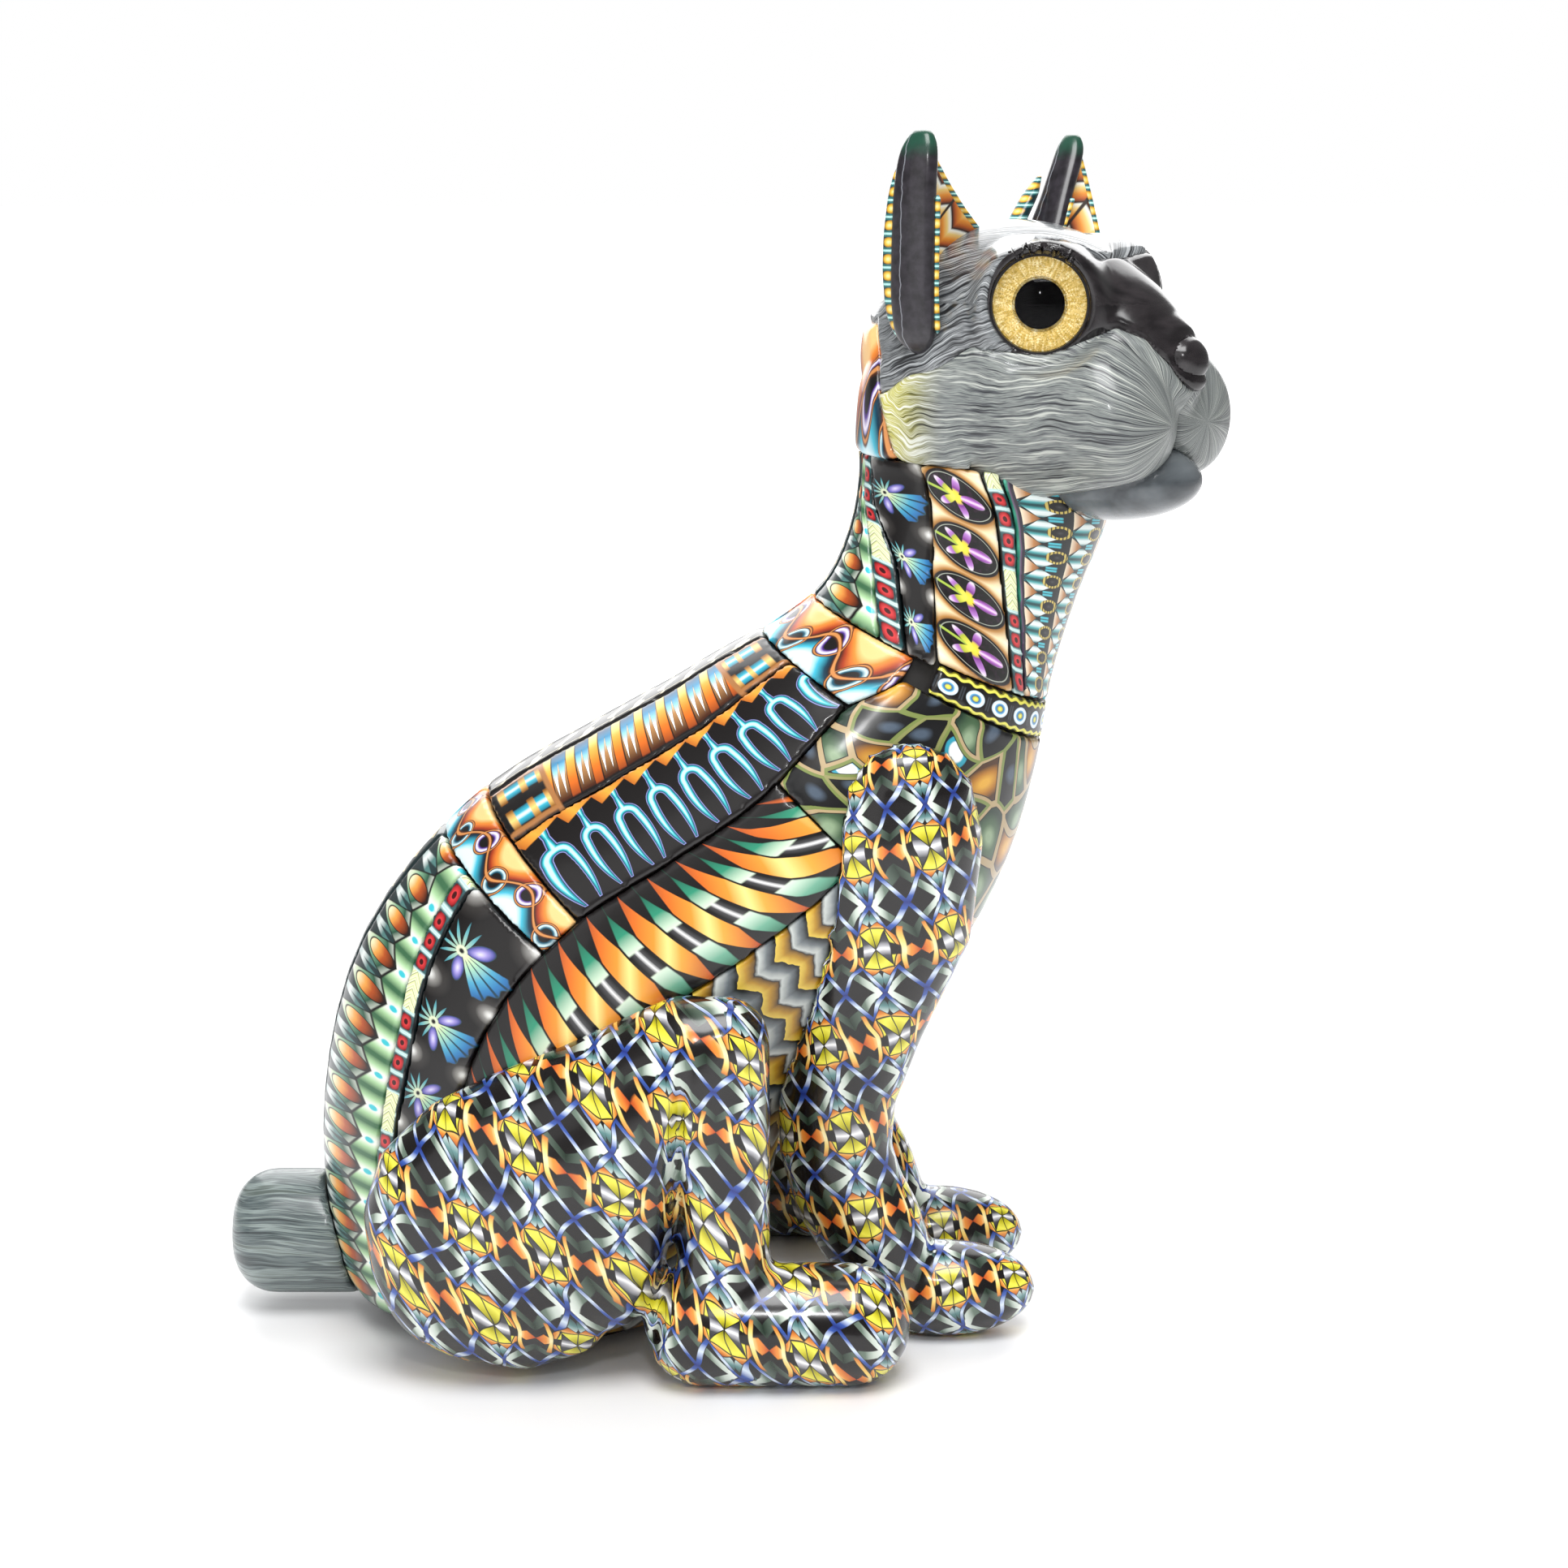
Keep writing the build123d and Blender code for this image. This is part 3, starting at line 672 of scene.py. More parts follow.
def running_length(points):
    """Length along a row of points, at each of them."""
    return np.concatenate([[0], np.cumsum(np.linalg.norm(np.diff(points, axis=0), axis=1))])


def set_layout(obj, a, c):
    """Stores the two layout coordinates, given per vertex in millimetres, as a UV map."""
    uv = obj.data.uv_layers.new(name="Layout")
    loops = np.empty(len(obj.data.loops), dtype=np.int64)
    obj.data.loops.foreach_get("vertex_index", loops)
    flat = np.stack([a[loops], c[loops]], axis=1) / LAYOUT_UNIT
    uv.data.foreach_set("uv", flat.reshape(-1))


def dress(obj, node, pattern, **finish):
    """Gives a finished piece its pattern and its place in the frame, in a CAD node's stead."""
    obj.data.materials.clear()
    obj.data.materials.append(clay(node, pattern, **finish))
    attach(obj, "root")
    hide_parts(node)


# ---- torso layout --------------------------------------------------------------------
def torso_axis():
    """Points, tangents and running length of the torso's axis, from the armature wire."""
    wire = mesh_points(NODES["armature_wire"]) / MM
    levels = np.arange(wire[:, 2].min() + 2, wire[:, 2].max() - 2, 2.0)
    xs = [wire[np.abs(wire[:, 2] - z) < 4.0][:, 0].mean() for z in levels]
    z = np.concatenate([[-4.0], levels])
    x = np.concatenate([[xs[0]], xs])
    run = running_length(np.stack([x, z], 1))
    even = np.linspace(0, run[-1], 160)
    x, z = np.interp(even, run, x), np.interp(even, run, z)
    tx, tz = np.gradient(x, even), np.gradient(z, even)
    reach = 22.0
    weight = np.exp(-((even[:, None] - even[None, :]) / reach) ** 2)
    tx, tz = weight @ tx, weight @ tz
    size = np.hypot(tx, tz)
    return np.stack([x, z], 1), np.stack([tx / size, tz / size], 1), even


AXIS, TANGENT, RUN = torso_axis()


def torso_place(co):
    """Running length along the torso and angle from the spine, per point."""
    flat = co[:, [0, 2]] / MM
    gap = flat[:, None, :] - AXIS[None, :, :]
    along = np.einsum("ijk,jk->ij", gap, TANGENT)
    size = np.linalg.norm(gap, axis=2)
    cross = (along[:, :-1] >= 0) & (along[:, 1:] < 0)
    cost = np.where(cross, size[:, :-1], 1e6)
    i = np.argmin(cost, axis=1)
    rows = np.arange(len(co))
    f = along[rows, i] / (along[rows, i] - along[rows, i + 1] + 1e-9)
    f = np.clip(f, 0, 1)
    run = RUN[i] + f * (RUN[i + 1] - RUN[i])
    base = AXIS[i] + f[:, None] * (AXIS[i + 1] - AXIS[i])
    t = TANGENT[i]
    back = np.einsum("ij,ij->i", flat - base, np.stack([-t[:, 1], t[:, 0]], 1))
    return run, np.degrees(np.arctan2(-co[:, 1] / MM, back))


def border(x, y, pick, step=2.4):
    """The least, greatest or mean y in each short stretch of x, as a function of x."""
    bins = int(np.clip((x.max() - x.min()) / step, 3, 26))
    edges = np.linspace(x.min(), x.max(), bins + 1)
    mids, values = [], []
    for lo, hi in zip(edges, edges[1:]):
        here = (x >= lo) & (x <= hi)
        if here.any():
            mids.append((lo + hi) / 2)
            values.append(pick(y[here]))
    return np.interp(x, mids, values)


def panel(node, front=False):
    """A veneer panel with its layout; returns it with its real length and width in millimetres."""
    obj = skin(node, voxel=0.8, passes=3)
    co = mesh_points(obj)
    run, turn = torso_place(co)
    if front:
        turn = turn % 360
    elif node.endswith("_left"):
        turn = -turn
    lean = turn - border(run, turn, np.mean)
    least, most = border(run, lean, np.min), border(run, lean, np.max)
    v = np.clip((lean - least) / (most - least + 1e-6), 0, 1)
    start = border(v, run, np.min, 0.12)
    end = border(v, run, np.max, 0.12)
    u = np.clip((run - start) / (end - start + 1e-6), 0, 1)
    middle = np.abs(v - 0.5) < 0.12
    steps = np.linspace(0, 1, 13)
    spine = [co[middle & (np.abs(u - s) < 0.06)].mean(axis=0) / MM for s in steps]
    real = running_length(spine)
    halfway = np.abs(u - 0.5) < 0.06
    ring = [co[halfway & (np.abs(v - s) < 0.09)].mean(axis=0) / MM for s in np.linspace(0, 1, 9)]
    width = running_length(ring)[-1]
    set_layout(obj, np.interp(u, steps, real), v * width)
    return obj, real[-1], width


def lay_panel(node, pattern, front=False):
    """Builds one veneer panel and gives it its pattern."""
    obj, length, width = panel(node, front)
    dress(obj, node, lambda a, c: pattern(a, c, length, width))


PAIRS = {
    "rump_leaf_strip": leaf_strip, "rump_bead_strip": bead_strip, "rump_flower_strip": flower_strip,
    "rear_scroll": scrolls, "saddle_tooth_band": tooth_band, "wishbone_panel": wishbones,
    "rib_fan": rib_fan, "front_scroll": scrolls, "neck_leaf_strip": leaf_strip,
    "neck_bead_strip": bead_strip, "neck_flower_strip": flower_strip, "orchid_strip": orchid_strip,
    "throat_bead_strip": bead_strip,
}
SPINE = {
    "rump_spine_strip": lozenge_strip, "neck_spine_strip": lozenge_strip,
    "saddle_spine_strip": spine_chevrons,
}
FRONT = {"throat_feathers": throat, "collar_strip": collar, "chest_panel": chest, "belly_panel": belly}
for stem, pattern in PAIRS.items():
    lay_panel(stem + "_right", pattern)
    lay_panel(stem + "_left", pattern)
for node, pattern in SPINE.items():
    lay_panel(node, pattern)
for node, pattern in FRONT.items():
    lay_panel(node, pattern, front=True)


# ---- legs and tail --------------------------------------------------------------------
# how far the figure is shifted along X from the body's own zero, read from the tail's end
TAIL_END = -108
SHIFT = mesh_points(NODES["tail"])[:, 0].min() / MM - TAIL_END
# fold between thigh and shank: X and Z along it, in millimetres
FOLD = [(-9.6, 72), (-10.1, 65.7), (-11.7, 46.8), (-11.6, 33.5), (-15.8, 13.3), (-17.5, 6)]
FOLD_DEEP, FOLD_WIDE = 3.4, 1.5
HAUNCH_AT, HAUNCH = (-26, 46, 32), (13, 11, 21)     # fullness of the thigh behind the fold
TILE_START = (402.95, 400)                          # where the legs' tiles begin, in X and Z
ROUND = 12.0                                        # radius at which a leg turns away from the flank


def side_layout(obj):
    """Layout seen from the flank, let out where the surface turns away; the same on both faces."""
    co, normal = mesh_points(obj) / MM, mesh_normals(obj)
    lie = normal[:, [0, 2]]
    size = np.linalg.norm(lie, axis=1)
    turn = np.arctan2(size, np.abs(normal[:, 1]))
    slack = (ROUND * (turn - np.sin(turn)) / np.maximum(size, 1e-6))[:, None] * lie
    flat = co[:, [0, 2]] + slack
    set_layout(obj, flat[:, 0] - SHIFT + TILE_START[0], flat[:, 1] + TILE_START[1])


def hind_leg(node, sign):
    """A hind leg as soft clay, with its haunch and the fold behind the shank."""
    leg = skin(node, voxel=1.0, passes=2)
    lump = ball("haunch", (0, 0, 0), HAUNCH)
    place_points(lump, (mesh_points(lump) + np.array(HAUNCH_AT) * [1, sign, 1] + [SHIFT, 0, 0]) * MM)
    leg = soften(join_into(leg, lump), 0.9 * MM, 14)
    co = mesh_points(leg) / MM
    xs, zs = np.array(FOLD)[::-1].T
    off = np.abs(co[:, 0] - SHIFT - np.interp(co[:, 2], zs, xs))
    fade = np.clip((FOLD[0][1] - co[:, 2]) / 14, 0, 1) * np.clip((co[:, 2] - 4) / 6, 0, 1)
    outside = np.clip((np.abs(co[:, 1]) - 38) / 6, 0, 1)
    co[:, 1] -= sign * FOLD_DEEP * np.exp(-(off / FOLD_WIDE) ** 2) * fade * outside
    place_points(leg, co * MM)
    return leg


def dress_leg(leg, node, lean):
    """Tiles a leg; lean is how far the rows of tiles slope."""
    side_layout(leg)
    dress(leg, node, lambda a, c: kaleidoscope(a, c, lean), rough=0.24, coat=0.4)


for side, sign in (("_right", -1), ("_left", 1)):
    dress_leg(hind_leg("hind_leg" + side, sign), "hind_leg" + side, 0.45)
    dress_leg(skin("foreleg" + side, voxel=1.0, passes=8), "foreleg" + side, -0.15)

tail = skin("tail", voxel=1.0, passes=8)
side_layout(tail)
dress(tail, "tail", tail_hair)


# ---- head ----------------------------------------------------------------------------------
# All sizes of the head are in its own frame, in millimetres: x forward, y to the left, z up.
EYE_RIM = np.array([16.5, 18.5, 14.0])              # middle of the left eye's rim
EYE_OUT = math.radians(60)                          # the eyes look this far out to each side
IRIS_DEEP = 1.9                                     # the iris sits this far inside the rim
LOOK = np.array([math.cos(EYE_OUT), math.sin(EYE_OUT), 0.0])


def head_frame():
    """Origin and axes of the head: forward, left and up, found from the pair of irises."""
    co = mesh_points(NODES["eye_irises"]) / MM
    middle = co.mean(axis=0)
    turn = np.array([math.cos(HEAD_TURN), -math.sin(HEAD_TURN), 0.0])
    left = np.array([math.sin(HEAD_TURN), math.cos(HEAD_TURN), 0.0])
    up = np.array([0.0, 0.0, 1.0])
    ahead = EYE_RIM[0] - IRIS_DEEP * LOOK[0]
    return middle - turn * ahead - up * EYE_RIM[2], np.stack([turn, left, up])


HEAD_ORIGIN, HEAD_AXES = head_frame()


def to_head(co):
    return (co / MM - HEAD_ORIGIN) @ HEAD_AXES.T


def from_head(points):
    return (points @ HEAD_AXES + HEAD_ORIGIN) * MM


def tube(name, centres, sides, ups, ring=28, square=2.0):
    """A closed tube through centres, with half-width vectors sides and half-height vectors ups."""
    turn = np.linspace(0, 2 * math.pi, ring, endpoint=False)
    cos, sin = np.cos(turn), np.sin(turn)
    cos = np.sign(cos) * np.abs(cos) ** (2 / square)
    sin = np.sign(sin) * np.abs(sin) ** (2 / square)
    points = []
    for centre, side, up in zip(centres, sides, ups):
        points.extend(np.asarray(centre) + np.outer(cos, side) + np.outer(sin, up))
    count = len(centres)
    faces = [tuple(range(ring))[::-1], tuple(range((count - 1) * ring, count * ring))]
    for i in range(count - 1):
        for j in range(ring):
            k = (j + 1) % ring
            faces.append((i * ring + j, i * ring + k, (i + 1) * ring + k, (i + 1) * ring + j))
    return new_object(name, np.array(points), faces)


def spread(rows, count):
    """Rows of key numbers, resampled smoothly to count rows."""
    rows = np.array(rows, dtype=float)
    key = running_length(rows[:, :3])
    even = np.linspace(0, key[-1], count)
    out = np.stack([np.interp(even, key, column) for column in rows.T], axis=1)
    for _ in range(3):
        out[1:-1] = (out[:-2] + 2 * out[1:-1] + out[2:]) / 4
    return out


# x, middle y, middle z, half width, half height of the right cheek, from behind to the muzzle
CHEEK_ROWS = [(-26.5, -12.5, -8, 0.5, 0.5), (-26, -12.5, -8, 4.5, 6), (-22, -12.5, -8, 8.8, 10.5),
              (-12, -12.5, -8, 12.6, 14.5), (1, -12.2, -9, 14.4, 15.5), (14, -11.8, -8.5, 14.5, 16.5),
              (24.5, -11.4, -7.4, 13.8, 16.2), (32, -11.6, -7.6, 13.2, 14), (36.5, -11.5, -8.8, 11.8, 11),
              (39.6, -11.2, -9.4, 9.0, 7.8), (40.8, -11.2, -9.6, 0.5, 0.5)]
# boundary between cheek and temple or mask: x and z along it
CHEEK_TOP = [(-32, -7), (-17, -4.5), (-4.5, 0.8), (1.5, 3.0), (5.5, 5.6), (11.5, 4.6), (19, 4.3),
             (25.5, 7.0), (30, 9.6), (35, 7.4), (39, 2.4), (42, -4), (46, -14)]
# egg-shaped lumps: middle, half sizes and the tip of the front downward in degrees
HEAD_LUMPS = {
    "skull": ((0, 0, 2), (33, 26, 28), 0), "brow": ((18, 0, 8.5), (26, 15.5, 14.5), 33),
    "bridge": ((30, 0, 5), (14.5, 8.5, 9.0), 30), "nose": ((36.4, 0, 5.4), (7.2, 6.4, 3.6), 26),
    "stop": ((21, 0, 9.5), (13.5, 15.5, 11.5), 25),
    "right_socket": ((14.2, -14.6, 13.6), (11.0, 10.6, 11.4), 0),
    "left_socket": ((10.6, 11.8, 10.2), (8.0, 7.8, 7.6), 0),
}


def head_surface():
    """One soft surface over skull, brow, cheeks, chin and nose."""
    parts = [ball(name + "_lump", *shape) for name, shape in HEAD_LUMPS.items()]
    for node in ("chin", "nape_panel"):
        faces = [tuple(p.vertices) for p in NODES[node].data.polygons]
        parts.append(new_object(node + "_lump", to_head(mesh_points(NODES[node])), faces))
    rows = spread(CHEEK_ROWS, 60)
    for side in (1, -1):
        sides, ups = [(0, side * r[3], 0) for r in rows], [(0, 0, r[4]) for r in rows]
        parts.append(tube("cheek_lump", rows[:, :3] * [1, side, 1], sides, ups, ring=48))
    whole = soften(join_into(*parts), 0.75, 5)
    place_points(whole, shape_lids(mesh_points(whole)))
    return whole


def eye_place(co):
    """Distance from the eye's axis, height over its rim, and places up and ahead within the rim."""
    gap = np.stack([co[:, 0], np.abs(co[:, 1]), co[:, 2]], 1) - EYE_RIM
    out = gap @ LOOK
    flat = gap - out[:, None] * LOOK
    return np.linalg.norm(flat, axis=1), out, flat[:, 2], flat[:, 0]


EYE_HOLE = 9.3                                      # radius of the opening for the glass
LID_FULL, LID_FADE = 11.6, 15.0                     # the lids are whole out to here, and gone from there on
RIGHT_LID, LEFT_LID = (10.6, 1.7), (9.7, 0.2)       # crest and roll of each lid; the left one is thinner


def shape_lids(co):
    """Rolls a lid round each eye, fading into the face."""
    rho, out = eye_place(co)[:2]
    side = np.where(co[:, 1] < 0, -1.0, 1.0)
    direction = np.tile(LOOK, (len(co), 1))
    direction[:, 1] *= side
    crest, roll = (np.where(side < 0, r, l) for r, l in zip(RIGHT_LID, LEFT_LID))
    inner = 0.5 + np.sqrt(np.clip(roll ** 2 - (rho - crest) ** 2, 0, None))
    lid = np.where(rho < crest, inner, 0.5 + roll - 0.12 * (rho - crest) ** 2)
    lid = np.where((side > 0) & (rho > crest), np.minimum(lid, 0.5 + roll - 0.5 * (rho - crest)), lid)
    weight = np.clip((LID_FADE - rho) / (LID_FADE - LID_FULL), 0, 1)
    weight = weight * weight * (3 - 2 * weight) * ((out > -12) & (out < 16))
    return co + direction * (weight * (lid - out))[:, None]


def eye_hole(p):
    """Below zero outside the opening for the glass."""
    rho, out = eye_place(p)[:2]
    return np.where(np.abs(out) < 12, EYE_HOLE - rho, -5.0)


def egg_field(p, middle, half, scale):
    """Roughly the distance outside an egg; scale is its typical half size."""
    return (np.linalg.norm((p - np.array(middle)) / np.array(half), axis=1) - 1) * scale


def cheek_at(x):
    """Middle y and z, half width and half height of the right cheek at x."""
    rows = np.array(CHEEK_ROWS)
    return [np.interp(x, rows[:, 0], column) for column in rows[:, 1:].T]


def chin_field(p):
    """Below zero on the chin: nearer the chin's egg than the cheeks'."""
    chin = egg_field(p, (22, 0, -21), (20.5, 15.5, 9), 11)
    y, z, wide, tall = cheek_at(p[:, 0])
    cheek = (np.hypot((-np.abs(p[:, 1]) - y) / wide, (p[:, 2] - z) / tall) - 1) * 12
    return np.where(p[:, 2] > -12, 5.0, chin - cheek)


def cheek_field(p):
    """Below zero under the slightly wavy upper border of the cheeks."""
    wave = 0.5 * np.sin(p[:, 0] * 0.55)
    return p[:, 2] - np.interp(p[:, 0], *zip(*CHEEK_TOP)) - wave * (p[:, 0] < 8)


def nape_field(p):
    """Below zero on the back of the head, low down."""
    return np.maximum(p[:, 0] + 18.5 + 0.45 * p[:, 2], p[:, 2] - 9)


def mask_field(p):
    """Below zero round the eyes and along the bridge of the nose."""
    rho, out, up, ahead = eye_place(p)
    wide = np.where(p[:, 1] < 0, 11.5 + 0.14 * up, 10.2 - 0.08 * up) + 0.20 * ahead
    eye = np.where((out > -10), rho - wide, 9.0)
    return np.minimum(eye, 10.5 + 0.5 * p[:, 2] - p[:, 0])


def nose_field(p):
    return egg_field(p, (41.0, 0, 3.8), (5.0, 6.0, 4.2), 4.5)


def cut(bm, field):
    """Keeps the part of a surface where field is below zero, with a clean edge."""
    bm.verts.ensure_lookup_table()
    values = field(np.array([v.co[:] for v in bm.verts]))
    values = np.where(np.abs(values) < 1e-4, 1e-4, values)
    value = {v: x for v, x in zip(bm.verts, values)}
    fresh = []
    for edge in list(bm.edges):
        a, b = edge.verts
        if value[a] * value[b] < 0:
            split = value[a] / (value[a] - value[b])
            point = bmesh.utils.edge_split(edge, a, split)[1]
            fresh.append(point)
    for point in fresh:
        value[point] = 0.0
    bmesh.ops.connect_verts(bm, verts=fresh)
    away = [f for f in bm.faces if max(value[v] for v in f.verts) > 0]
    bmesh.ops.delete(bm, geom=away, context="FACES")
    loose = [v for v in bm.verts if not v.link_faces]
    bmesh.ops.delete(bm, geom=loose, context="VERTS")


def biggest(bm):
    """Drops all but the largest connected patch."""
    left, patches = set(bm.faces), []
    while left:
        stack, patch = [left.pop()], []
        while stack:
            face = stack.pop()
            patch.append(face)
            for edge in face.edges:
                for other in edge.link_faces:
                    if other in left:
                        left.remove(other)
                        stack.append(other)
        patches.append(patch)
    patches.sort(key=len)
    for patch in patches[:-1]:
        bmesh.ops.delete(bm, geom=patch, context="FACES")
    bmesh.ops.delete(bm, geom=[v for v in bm.verts if not v.link_faces], context="VERTS")


def surface_normals(surface, points):
    """Smooth normals of the surface at points near it."""
    normal = mesh_normals(surface)
    tree = kdtree.KDTree(len(normal))
    for i, point in enumerate(mesh_points(surface)):
        tree.insert(point, i)
    tree.balance()
    found = []
    for point in points:
        near = tree.find_n(point, 4)
        mean = sum((normal[i] / (gap + 0.05) for _, i, gap in near), np.zeros(3))
        found.append(mean / np.linalg.norm(mean))
    return np.array(found)


def head_patch(name, surface, fields, raised):
    """One clay piece of the head: a patch of the surface with rolled edges, given thickness."""
    bm = bmesh.new()
    bm.from_mesh(surface.data)
    for field in fields:
        cut(bm, field)
    biggest(bm)
    co = np.array([v.co[:] for v in bm.verts])
    normal = surface_normals(surface, co)
    edge = np.min([np.abs(field(co)) for field in fields], axis=0)
    outer = co + normal * (raised - 0.75 * np.exp(-(edge / 0.9) ** 2))[:, None]
    for vertex, point in zip(bm.verts, outer):
        vertex.co = point
    bmesh.ops.triangulate(bm, faces=list(bm.faces))
    bm.verts.index_update()
    count = len(outer)
    faces = [tuple(v.index for v in f.verts) for f in bm.faces]
    back = [tuple(i + count for i in reversed(face)) for face in faces]
    walls = []
    for edge in bm.edges:
        if len(edge.link_faces) == 1:
            loop = edge.link_loops[0]
            i, j = loop.vert.index, loop.link_loop_next.vert.index
            walls.append((j, i, i + count, j + count))
    bm.free()
    obj = new_object(name + "_skin", np.concatenate([outer, outer - normal * VENEER]), faces + back + walls)
    obj.data.shade_smooth()
    return obj


def outside(field):
    """The same boundary with the other side kept."""
    return lambda p: -field(p)


def cheek_layout(p):
    """Lengthways to the muzzle, and round the cheek across it."""
    y, z = cheek_at(p[:, 0])[:2]
    turn = np.arctan2(p[:, 2] - z, np.abs(p[:, 1]) + y + 4.0)
    return p[:, 0] + HEAD_START, turn * 17.0 + HEAD_START


def crown_layout(p):
    """Lengthways down the slope of the forehead, and across it over the top."""
    lie = math.radians(26)
    over_top = np.where(p[:, 2] > 14, (30 - np.abs(p[:, 1])).clip(0) * 0.8, 0.0)
    a = p[:, 0] * math.cos(lie) + p[:, 2] * math.sin(lie)
    c = -p[:, 0] * math.sin(lie) + p[:, 2] * math.cos(lie) + over_top
    return a + HEAD_START, c + HEAD_START


def nape_layout(p):
    """Round the back of the head, and upward."""
    turn = np.arctan2(p[:, 1], -p[:, 0])
    return turn * 26.0 + 90, p[:, 2] + 26


def cheek_hair(a, c):
    """Fine grey lines that run to the muzzle, yellow-green and wavy behind."""
    back = inside(a - 53.0, 8.0)
    wave = sine(a / 12.0 + noise(a, c, 0.09) * 1.6) * back * 1.5 + (noise(a, c, 0.10) - 0.5) * 2.5
    strand = noise(a * 0.035, c + wave, 2.3, 3.0)
    broad = noise(a * 0.03, c + wave, 0.30, 2.0)
    tone = strand * 0.72 + broad * 0.28
    col = ramp(tone, (0.38, "1E1F22"), (0.44, "53565A"), (0.49, "8E9490"), (0.53, "5E6264"), (0.6, "B9BDB6"))
    pale = ramp(tone, (0.38, "3C4020"), (0.43, "B4AE20"), (0.48, "F0EEB8"), (0.52, "C8C01E"), (0.6, "FFFFF0"))
    return over(col, pale, back * 0.95)


def crown_hair(a, c):
    """Fine grey lines over the crown and forehead."""
    wave = (noise(a, c, 0.10) - 0.5) * 5.0
    strand = noise(a * 0.04, c + wave, 2.1, 3.0)
    return ramp(strand, (0.38, "1E1F22"), (0.45, "56595C"), (0.5, "94989A"), (0.54, "5A5D60"),
                (0.62, "BABEC0"))


def dark_clay(a, c):
    """Near-black clay of the mask and nose."""
    return ramp(noise(a, c, 0.30, 3.0), (0.35, "131012"), (0.65, "2C282A"))


def chin_clay(a, c):
    """Mid grey clay of the chin."""
    return ramp(noise(a, c, 0.16, 3.0), (0.35, "3E4347"), (0.65, "666C70"))


def nape_pattern(a, c):
    return scrolls(c, a, 36.0, 30.0)


def head_piece(node, fields, raised, layout, pattern, **finish):
    """Cuts, lays out and dresses one clay piece of the head."""
    piece = head_patch(node, surface, fields, raised)
    p = mesh_points(piece)
    set_layout(piece, *layout(p))
    place_points(piece, from_head(p))
    dress(piece, node, pattern, **finish)


def left_half(p):
    return -p[:, 1]


def behind_chin(p):
    return 8 - p[:, 0]


surface = head_surface()
not_cheek, not_chin, not_nape, not_mask, not_nose, right_half = (
    outside(field) for field in (cheek_field, chin_field, nape_field, mask_field, nose_field, left_half))
CHEEK = [not_chin, not_nape, not_nose, eye_hole]
for node, half in (("cheek_right", right_half), ("cheek_left", left_half)):
    head_piece(node, [cheek_field, half] + CHEEK, 0.35, cheek_layout, cheek_hair, rough=0.34, coat=0.25)
head_piece("chin", [chin_field, behind_chin], 0.0, crown_layout, chin_clay, rough=0.24)
head_piece("crown_panel", [not_cheek, not_mask, not_nape, eye_hole], 0.0, crown_layout, crown_hair,
           rough=0.28, coat=0.9)
head_piece("brow_mask", [not_cheek, mask_field, not_nose, eye_hole], 0.25, crown_layout, dark_clay, rough=0.2)
head_piece("nose", [nose_field], 0.3, crown_layout, dark_clay, rough=0.25)
head_piece("nape_panel", [nape_field], 0.5, nape_layout, nape_pattern)
bpy.data.objects.remove(surface)


# ---- ears --------------------------------------------------------------------------------
# Each ear is a cup that opens forward. Rows run up the ear: x, y, z of the charcoal wall's middle and its
# half sizes; the lining spans from the wall to the far edge. The right ear shows its outer wall, the left
# ear its inner one.
WALL_RIGHT = [(-6.8, -25.2, 3.6, 0.6, 0.6), (-7.0, -26.0, 4.8, 3.2, 1.4), (-7.2, -26.8, 8, 4.6, 2.0),
              (-7.4, -27.2, 16, 5.0, 2.2), (-7.2, -27.4, 26, 4.9, 2.2), (-6.9, -27.6, 35, 4.7, 2.3),
              (-6.6, -27.2, 41, 4.4, 2.4), (-6.4, -26.7, 44.4, 3.9, 2.3), (-6.2, -26.2, 46.4, 3.0, 1.9),
              (-6.1, -26.0, 47.5, 1.8, 1.2)]
WALL_LEFT = [(-3.0, 10.5, 20, 0.6, 0.6), (-2.6, 12.0, 22, 3.6, 1.6), (-2.0, 15.2, 28, 4.1, 2.0),
             (-1.8, 18.6, 34, 3.5, 2.1), (-1.8, 21.8, 39.5, 3.3, 2.2), (-2.0, 24.2, 43.4, 3.1, 2.1),
             (-2.2, 25.4, 45.8, 2.5, 1.8), (-2.3, 25.8, 47.0, 1.4, 1.0)]
BEADS_RIGHT = [(-9.6, -24.5, 5, 0.5, 0.6), (-11.0, -25.4, 7.5, 1.7, 1.5), (-12.2, -26.0, 12, 2.0, 1.8),
               (-12.7, -26.4, 20, 2.0, 1.9), (-12.3, -26.6, 28, 2.0, 1.9), (-11.3, -26.8, 35, 1.9, 1.8),
               (-10.4, -26.5, 40, 1.5, 1.5), (-9.8, -26.2, 42.6, 0.4, 0.5)]
BEADS_LEFT = [(-6.5, 5.0, 22, 0.5, 0.6), (-6.3, 6.8, 24.5, 1.8, 1.6), (-6.0, 10.6, 30, 1.9, 1.8),
              (-5.6, 14.8, 35, 1.6, 1.6), (-5.2, 17.6, 38.5, 0.4, 0.5)]
# far edge of each lining, as x, y, z
EDGE_RIGHT = [(-4.6, -1.5, 22), (-4.6, -3.6, 25.4), (-4.8, -8.4, 28.6), (-5.2, -13.4, 32.6),
              (-5.6, -18.0, 37), (-5.9, -22.2, 41.6), (-6.0, -24.6, 44.6)]
EDGE_LEFT = [(7.5, 23.4, 14), (6.5, 24.4, 20), (4.4, 25.0, 27), (2.2, 25.4, 34), (0.0, 25.8, 40.5),
             (-1.6, 25.8, 45.0)]
HOLLOW = 3.6                    # how deep the cup of an ear dips
EAR_ROWS, EAR_COLUMNS = 25, 18


